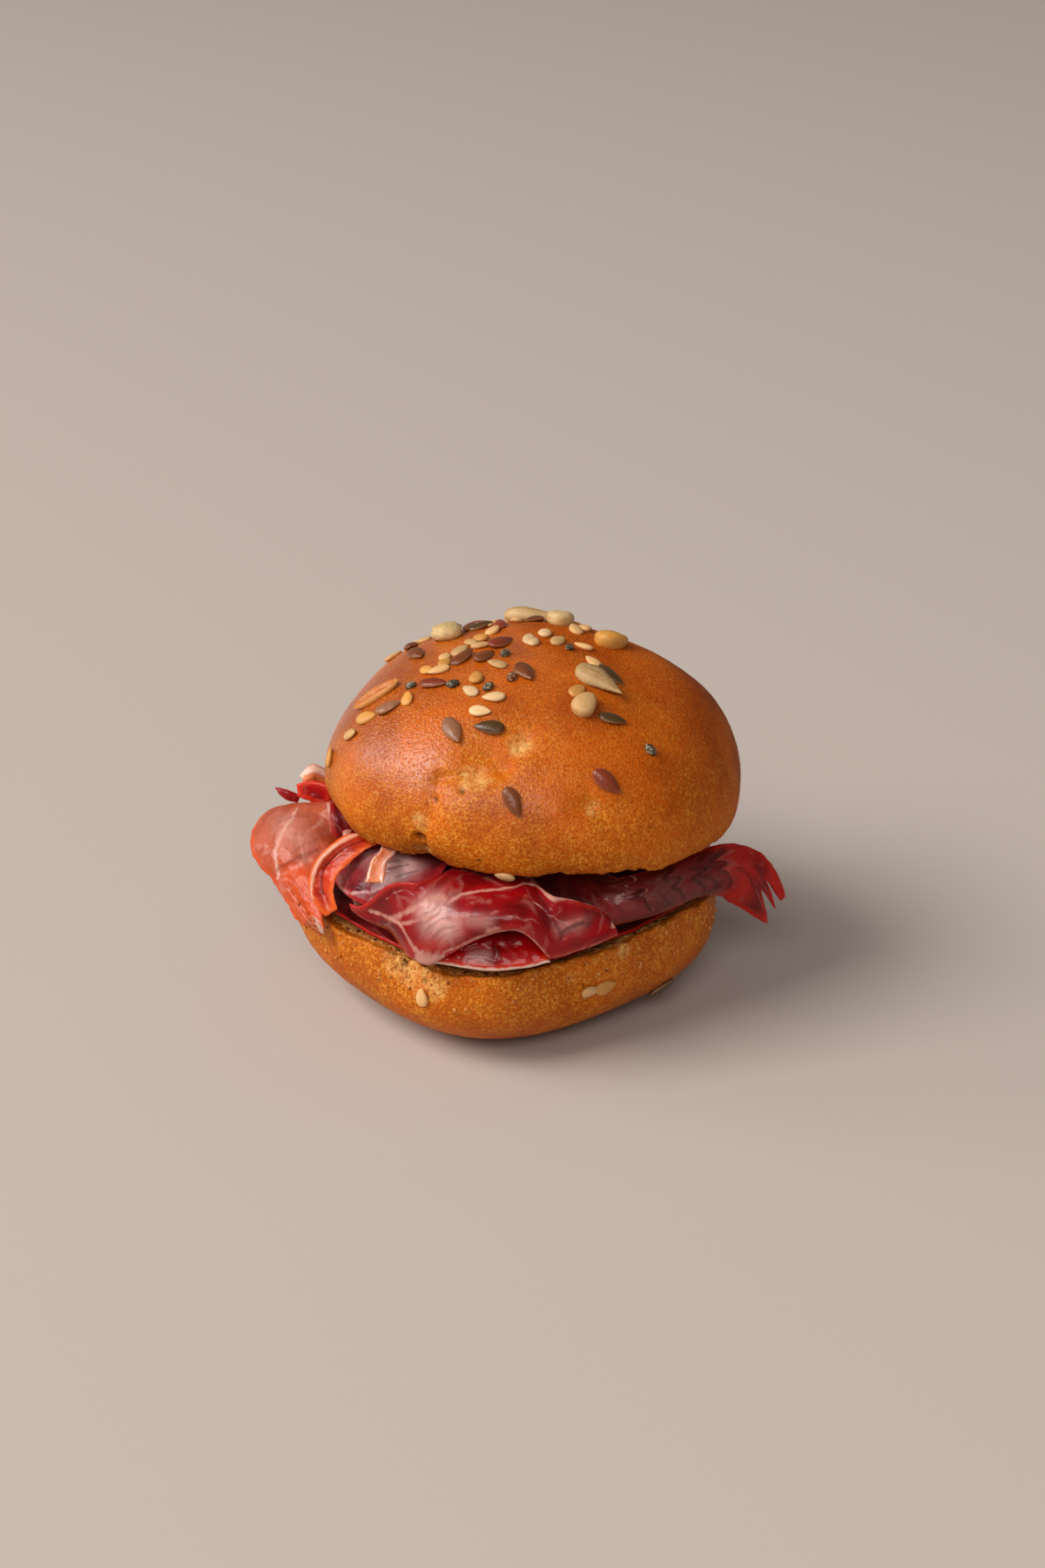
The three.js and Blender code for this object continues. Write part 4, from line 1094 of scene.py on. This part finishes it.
def ham_piece(node, place, steps, material, slot, lines=(), ragged=0.5, **inputs):
    """A slice over its solid, with lines painted on it.

    A line has its kind (fat, crease, painted glow, sheen or ridge), its width in millimetres, its strength,
    and the places that it runs through, in hundredths of the slice's length and width. A glow line is
    painted light that comes through the slice, a sheen line is a painted reflection, and a crease is also
    painted dark as shade.
    """
    u, v = np.meshgrid(np.linspace(0, 1, steps[0] + 1), np.linspace(0, 1, steps[1] + 1), indexing="ij")
    flat = place(u, v)
    strides = [np.diff(flat, axis=k, prepend=flat.take([0], k)) for k in (0, 1)]
    gone = [np.cumsum(np.linalg.norm(strides[k], axis=-1), k) for k in (0, 1)]
    long, wide = gone[0][-1:], gone[1][:, -1:]
    # Torn edges: the slice stops short of its solid's edge by a ragged part of a millimetre.
    rough = vector(gone[0], gone[1], 0)
    tear = lambda seed: ragged * (0.5 + 0.3 * noise(rough + seed, 2.4, seed) + 0.2 * noise(rough, 0.8, seed))
    near = 0.45 * np.minimum(long, wide)
    low_u, high_u = (np.minimum(tear(seed), near) / np.maximum(long, 1e-6) for seed in (21, 22))
    low_v, high_v = (np.minimum(tear(seed), near) / np.maximum(wide, 1e-6) for seed in (23, 24))
    p = place(mix(low_u, 1 - high_u, u), mix(low_v, 1 - high_v, v))
    sheet = vector(gone[0] - long / 2, gone[1] - wide / 2, 0)
    edge = np.minimum(np.minimum(gone[0], long - gone[0]), np.minimum(gone[1], wide - gone[1]))
    painted = {kind: np.zeros(u.shape) for kind in ("fat", "crease", "painted_glow", "sheen", "ridge")}
    for kind, width, strength, path in lines:
        stops = [sheet[round(x / 100 * steps[0]), round(y / 100 * steps[1])] for x, y in path]
        away = np.min([to_segment(sheet, a, b) for a, b in zip(stops, stops[1:])], axis=0)
        away = away * (1 + 0.25 * noise(sheet, 2.0, 15))
        painted[kind] = np.maximum(painted[kind], strength * bell(away / width))
    lift = 0.08 * painted["fat"] - 0.2 * painted["crease"] + painted.pop("ridge")
    attributes = {"sheet": sheet, "edge": edge, "lift": lift * step(0, 1.2, edge), **painted}
    attributes = {k: a.reshape(-1, 3) if a.ndim == 3 else a.ravel() for k, a in attributes.items()}
    mesh = plain_mesh(node + "_slice", p.reshape(-1, 3), [grid_faces(*u.shape, False)], attributes)
    finish_piece(node + "_slice", mesh, SLICE_SHAPE, slot, [node], Material=material, **inputs)


SLICE_SHAPE = slice_shape()
# Red lean with fine pale veins, moist and satin: the front and ruffled slices.
marbled = ham_look(
    "cured_ham_marbled", "#8e040d #640308 #92201f #c08678 #a82018 #dca89e",
    0.25, 9.0, 0.3, 0.26,
)
# Bright red lean without veins, wet and glossy: the pocket and the peak.
bright = ham_look(
    "cured_ham_bright_lean", "#a80608 #7a0304 #b02a26 #dcb8a8 #c83018 #d8a8a0",
    0.05, 10.0, 0.4, 0.18,
)
# Dark brownish red, dried at the air, with a dull satin: the slices on the heel and at the right.
dried = ham_look(
    "cured_ham_dark_dried", "#721818 #520e0e #84342f #bc867c #b01408 #8c5450",
    0.15, 11.0, 0.2, 0.36,
)
# Dark purplish lean, wet, with a pink sheen painted on as a reflection: the glossy slice and the sliver.
moist = ham_look(
    "cured_ham_dark_moist", "#7c101a #560810 #8e3a42 #c8948e #98181a #cca8a2",
    0.1, 10.0, 0.2, 0.28,
)
# Thin pink slice with soft fat seams, through which light comes: the left fold.
salmon = ham_look(
    "cured_ham_thin_pink", "#b4573a #a44426 #be6c58 #d09a88 #cc4a10 #dca898",
    0.3, 9.0, 0.5, 0.42,
)
# Thin orange slice, lit through: the ruffle beside the left fold.
orange = ham_look(
    "cured_ham_thin_orange", "#c03214 #9c1e0c #cc6444 #dca088 #dc5c1c #d89880",
    0.15, 6.0, 0.5, 0.36,
)
# Waxy pale fat with a little pink lean in it: the strip and the curl.
fatty = ham_look(
    "cured_ham_fat_waxy", "#d09078 #bd6a50 #dca896 #e6c4b4 #d07038 #e6c8bc",
    0.3, 3.0, 0.4, 0.42,
)

ham_piece("ham_base", base_slice, (90, 90), dried, "ham_dark")
ham_piece("ham_pocket", pocket_slice, (84, 84), bright, "ham_red", [
    ("fat", 0.5, 1, [(0, 100), (25, 100), (50, 100), (75, 100), (100, 100)]),
    ("sheen", 0.8, 0.7, [(38, 84), (50, 82)]),
    ("ridge", 0.5, 0.3, [(30, 80), (42, 74), (55, 80)]),
    ("crease", 0.25, 0.4, [(36, 86), (46, 83), (60, 88)]),
    ("crease", 0.25, 0.6, [(56, 70), (60, 86)]),
    ("painted_glow", 0.8, 0.7, [(6, 85), (12, 72)]),
], Ripple_Height=0.25, Ripple_Size=2.4)
ham_piece("ham_front", front_slice, (250, 100), marbled, "ham_red", [
    # The fat edge on the right, and the seam that goes on from it through the middle to the upper left.
    ("fat", 0.75, 1, [(73, 16), (80, 10), (87, 10), (93, 13), (98, 20), (99, 60)]),
    ("fat", 0.5, 0.9, [(42, 42), (46, 36), (50, 34), (55, 32), (60, 30), (66, 27), (73, 18)]),
    ("fat", 0.3, 0.75, [(70, 30), (71, 40), (75, 44), (78, 48), (82, 57), (85, 67)]),
    ("fat", 0.9, 0.6, [(49, 44), (53, 42), (56, 43)]),
    ("fat", 0.5, 0.55, [(57, 57), (60, 54)]),
    ("fat", 0.4, 0.5, [(62, 62), (68, 66), (73, 63)]),
    # The branched pale streaks of the left half.
    ("fat", 0.8, 0.8, [(23, 63), (28, 53), (32, 42), (35, 38), (40, 40)]),
    ("fat", 0.6, 0.75, [(26, 66), (30, 61), (34, 55), (40, 53)]),
    ("fat", 0.7, 0.85, [(10, 50), (15, 62), (19, 66), (24, 66), (29, 76), (33, 86)]),
    ("fat", 0.35, 0.6, [(18, 42), (24, 34), (30, 34)]),
    ("sheen", 1.9, 0.95, [(34, 46), (39, 56), (43, 66)]),
    ("sheen", 1.3, 0.4, [(80, 62), (86, 60)]),
    ("sheen", 1.0, 0.4, [(50, 62), (56, 70)]),
    # The hem: a white corner on the left with a painted orange glow of light through it, and a pale edge
    # along the arch and the right. A glow is also painted on a spot at the upper left.
    ("fat", 1.6, 0.95, [(33, 90), (37, 95), (40, 100)]),
    ("painted_glow", 1.8, 0.9, [(30, 85), (35, 80), (41, 90)]),
    ("fat", 0.6, 0.75, [(40, 93), (46, 92), (52, 92), (58, 93), (64, 95), (70, 96), (76, 96)]),
    ("fat", 0.9, 0.8, [(56, 85), (59, 87)]),
    ("fat", 0.7, 0.6, [(76, 98), (81, 97), (87, 96), (94, 95), (100, 90)]),
    ("painted_glow", 0.8, 0.7, [(32, 30), (34, 35)]),
    # Fine slanting creases, painted dark as shade, in the painted sheen on the left, and the crumpled lump
    # on the right.
    ("crease", 0.2, 0.4, [(32, 61), (39, 49)]),
    ("crease", 0.2, 0.45, [(35, 64), (43, 55)]),
    ("crease", 0.2, 0.4, [(38, 70), (45, 64)]),
    ("crease", 0.2, 0.35, [(34, 51), (38, 45)]),
    ("crease", 0.2, 0.35, [(40, 74), (46, 70)]),
    ("crease", 0.2, 0.9, [(79, 66), (83, 61), (88, 56)]),
    ("crease", 0.2, 0.7, [(78, 56), (80, 66), (79, 74)]),
    ("ridge", 0.7, 0.35, [(81, 70), (85, 66), (90, 62)]),
    ("ridge", 0.5, 0.25, [(82, 54), (86, 52)]),
    ("ridge", 1.2, 0.3, [(22, 30), (30, 28), (38, 30)]),
], Ripple_Height=0.1, Ripple_Size=4.5, Crinkle_Height=0.035)
ham_piece("ham_glossy", glossy_slice, (130, 90), moist, "ham_dark", [
    ("sheen", 2.2, 0.9, [(56, 44), (76, 48), (74, 66)]),
    ("sheen", 1.2, 0.5, [(38, 40), (44, 50)]),
    ("fat", 0.5, 0.7, [(35, 98), (50, 94), (62, 86), (70, 78)]),
    ("crease", 0.15, 0.8, [(60, 55), (68, 44)]),
    ("crease", 0.15, 0.8, [(66, 60), (76, 46)]),
    ("crease", 0.15, 0.7, [(74, 64), (84, 50)]),
    ("crease", 0.15, 0.7, [(52, 60), (58, 50)]),
    ("crease", 0.2, 0.8, [(44, 90), (56, 86)]),
], Ripple_Height=0.12, Ripple_Size=3.5, Crinkle_Height=0.05)
ham_piece("ham_ruffled", ruffled_slice, (400, 60), marbled, "ham_red", [
    ("fat", 0.8, 1, [(x / 0.24, 100) for x in range(25)]),
], Thickness=0.5)
ham_piece("ham_left", lambda u, v: ribbon(LEFT_FOLD, u, v), (200, 110), salmon, "ham_pale", [
    ("sheen", 3.0, 0.45, [(30, 62), (40, 50), (45, 36)]),
    ("fat", 0.5, 0.85, [(21, 58), (28, 54), (35, 56), (40, 60), (45, 66), (51, 73), (58, 86)]),
    ("fat", 0.5, 0.6, [(10, 23), (15, 28), (26, 26), (36, 33)]),
    ("fat", 0.8, 0.5, [(49, 98), (43, 77), (35, 69)]),
    ("fat", 0.5, 0.5, [(40, 43), (48, 36), (55, 41), (62, 55)]),
    ("fat", 0.5, 0.9, [(90, 30), (97, 40), (100, 50)]),
    ("crease", 0.3, 0.45, [(54, 79), (53, 62), (53, 46), (52, 32), (50, 17)]),
    ("crease", 0.25, 0.3, [(31, 66), (27, 53), (26, 40)]),
    ("crease", 0.25, 0.3, [(62, 60), (70, 50), (80, 50)]),
    ("crease", 0.2, 0.25, [(40, 20), (46, 32), (50, 50)]),
    ("ridge", 0.9, 0.35, [(57, 78), (57, 60), (57, 42), (55, 28)]),
    ("ridge", 0.8, 0.3, [(20, 66), (32, 64), (42, 68)]),
    ("ridge", 0.7, 0.3, [(66, 70), (76, 62), (88, 55)]),
    ("painted_glow", 1.6, 0.9, [(28, 0), (44, 4), (56, 10), (66, 10), (80, 5), (95, 20)]),
    ("painted_glow", 3.0, 0.85, [(62, 45), (74, 45), (88, 40)]),
    ("painted_glow", 1.2, 0.6, [(40, 100), (60, 100), (80, 95)]),
], 1.0, Ripple_Height=0.22, Ripple_Size=4.0, Crinkle_Height=0.1, Crinkle_Size=1.3, Thickness=0.5)
ham_piece("ham_ruffle", lambda u, v: ribbon(LEFT_RUFFLE, u, v), (120, 40), orange, "ham_pale", [
    ("fat", 0.35, 1, [(0, 16), (20, 16), (35, 15), (50, 15), (62, 12), (80, 8)]),
    ("fat", 0.4, 0.7, [(84, 50), (95, 50)]),
    ("crease", 0.3, 0.8, [(2, 55), (30, 45), (55, 42), (80, 50)]),
    ("ridge", 0.5, 0.3, [(5, 16), (35, 15), (60, 12)]),
], Ripple_Height=0.25, Ripple_Size=2.5, Crinkle_Height=0.12, Thickness=0.5)
ham_piece("ham_right", right_slice, (340, 70), dried, "ham_dark", [
    ("sheen", 2.0, 0.5, [(41, 40), (46, 40)]),
    ("sheen", 1.6, 0.3, [(30, 45), (34, 50)]),
    ("fat", 0.22, 0.8, [(37, 5), (38, 19), (39, 34), (38, 44), (39, 57), (41, 69)]),
    ("crease", 0.3, 1, [(38, 36), (37.5, 44), (38.5, 57), (40, 66)]),
    ("crease", 0.3, 1, [(48, 14), (47, 31), (47, 47), (49, 66)]),
    ("fat", 0.4, 0.6, [(46.5, 20), (46, 36)]),
    ("crease", 0.3, 0.9, [(52, 30), (53, 48), (56, 70)]),
    ("fat", 0.3, 0.5, [(55.5, 66), (57, 74)]),
    ("crease", 0.3, 0.8, [(56, 34), (60, 60), (61, 68)]),
    ("crease", 0.3, 0.9, [(61, 20), (64, 50), (68, 75)]),
    ("crease", 0.2, 0.5, [(30, 30), (31, 50), (33, 68)]),
    ("crease", 0.2, 0.5, [(43, 25), (43, 50), (45, 66)]),
    ("fat", 0.35, 0.4, [(76, 50), (82, 52), (88, 52)]),
    ("crease", 0.25, 0.6, [(72, 40), (82, 46), (92, 50)]),
    ("painted_glow", 3.5, 0.85, [(72, 20), (78, 50), (82, 80)]),
    ("painted_glow", 1.6, 1, [(78, 0), (88, 0), (100, 4)]),
    ("painted_glow", 2.2, 1, [(95, 20), (100, 30), (100, 60), (96, 90)]),
    ("painted_glow", 1.6, 0.9, [(72, 90), (85, 100), (95, 100)]),
    ("fat", 0.5, 0.7, [(99, 2), (100, 10)]),
    ("fat", 0.5, 0.65, [(93, 48), (98, 62), (100, 70), (96, 82)]),
], 0.8, Ripple_Height=0.16, Ripple_Size=2.6, Crinkle_Height=0.06)
ham_piece("ham_strip", lambda u, v: ribbon(PALE_STRIP, u, v), (70, 30), fatty, "ham_fat", [
    ("painted_glow", 0.5, 0.8, [(0, 40), (40, 40), (80, 42)]),
    ("fat", 0.35, 0.8, [(0, 8), (50, 8), (100, 10)]),
    ("fat", 0.4, 0.8, [(0, 85), (50, 85), (100, 85)]),
], Ripple_Height=0.22, Ripple_Size=1.6)
ham_piece("ham_peak", lambda u, v: ribbon(PEAK, u, v), (50, 32), bright, "ham_red")
ham_piece("ham_sliver", lambda u, v: ribbon(SLIVER, u, v), (36, 16), moist, "ham_dark", [], 0.3)
ham_piece("ham_curl", lambda u, v: ribbon(PALE_CURL, u, v), (56, 34), fatty, "ham_fat", [
    ("painted_glow", 0.7, 0.8, [(0, 10), (50, 15), (100, 10)]),
    ("fat", 1.0, 1, [(0, 60), (50, 60), (100, 60)]),
])

# ---- floor, light and camera ----

FLOOR_REACH = 4.0
floor_mesh = bpy.data.meshes.new("floor")
corners = [(x * FLOOR_REACH, y * FLOOR_REACH, 0) for x, y in ((-1, -1), (1, -1), (1, 1), (-1, 1))]
floor_mesh.from_pydata(corners, [], [(0, 1, 2, 3)])
floor = bpy.data.objects.new("floor", floor_mesh)
bpy.context.scene.collection.objects.link(floor)
# Painted board, matt, of an even greyish beige.
board, board_tree, board_shader, _ = new_look("painted_board_matt_beige")
add(board_tree, board_shader, Base_Color="#bdb2aa", Roughness=0.8)
floor_mesh.materials.append(board)


def area_light(name, direction, distance, size, energy, colour):
    """A soft box that faces the sandwich from a direction."""
    data = bpy.data.lights.new(name, "AREA")
    data.shape = "RECTANGLE"
    data.size, data.size_y = size
    data.energy = energy
    data.color = colour
    light = bpy.data.objects.new(name, data)
    bpy.context.scene.collection.objects.link(light)
    target = Vector((0, 0, 0.025))
    away = Vector(direction).normalized()
    light.location = target + away * distance
    light.rotation_euler = away.to_track_quat("Z", "Y").to_euler()


area_light("soft_box_left", (-0.93, -0.4, 1.0), 2.6, (1.55, 1.4), 65.0, (1.0, 0.965, 0.93))
area_light("soft_box_front", (-0.05, -0.85, 0.62), 2.6, (1.3, 0.8), 21.5, (1.0, 0.96, 0.93))
area_light("soft_box_side", (-0.9, 0.22, 0.4), 1.6, (0.55, 0.5), 5.0, (1.0, 0.95, 0.92))
world = bpy.data.worlds.new("studio")
world.use_nodes = True
world.node_tree.nodes["Background"].inputs["Color"].default_value = (1.0, 0.93, 0.88, 1)
world.node_tree.nodes["Background"].inputs["Strength"].default_value = 0.2
bpy.context.scene.world = world

# The camera looks down from the front, so that the frame's origin shows at one pixel of the picture.
ELEVATION, DISTANCE, LENS, SENSOR = 25.0, 493.0, 70.0, 36.0
ORIGIN_PIXEL, PICTURE = (578, 1115), (1200, 1800)
tilt = np.radians(ELEVATION)
back = np.array([0, -np.cos(tilt), np.sin(tilt)])
right = np.array([1.0, 0, 0])
up = np.cross(back, right)
per_pixel = DISTANCE * SENSOR / LENS / PICTURE[1]
aside = (ORIGIN_PIXEL[0] - PICTURE[0] / 2) * per_pixel
below = (ORIGIN_PIXEL[1] - PICTURE[1] / 2) * per_pixel
camera_data = bpy.data.cameras.new("camera")
camera_data.lens = LENS
camera_data.sensor_fit = "VERTICAL"
camera_data.sensor_height = SENSOR
camera_data.clip_start = 0.01
camera = bpy.data.objects.new("camera", camera_data)
bpy.context.scene.collection.objects.link(camera)
pose = Matrix(np.stack([right, up, back], 1).tolist()).to_4x4()
pose.translation = Vector((back * DISTANCE - right * aside + up * below) * MM)
camera.matrix_world = pose
bpy.context.scene.camera = camera
bpy.context.scene.view_settings.view_transform = "Standard"
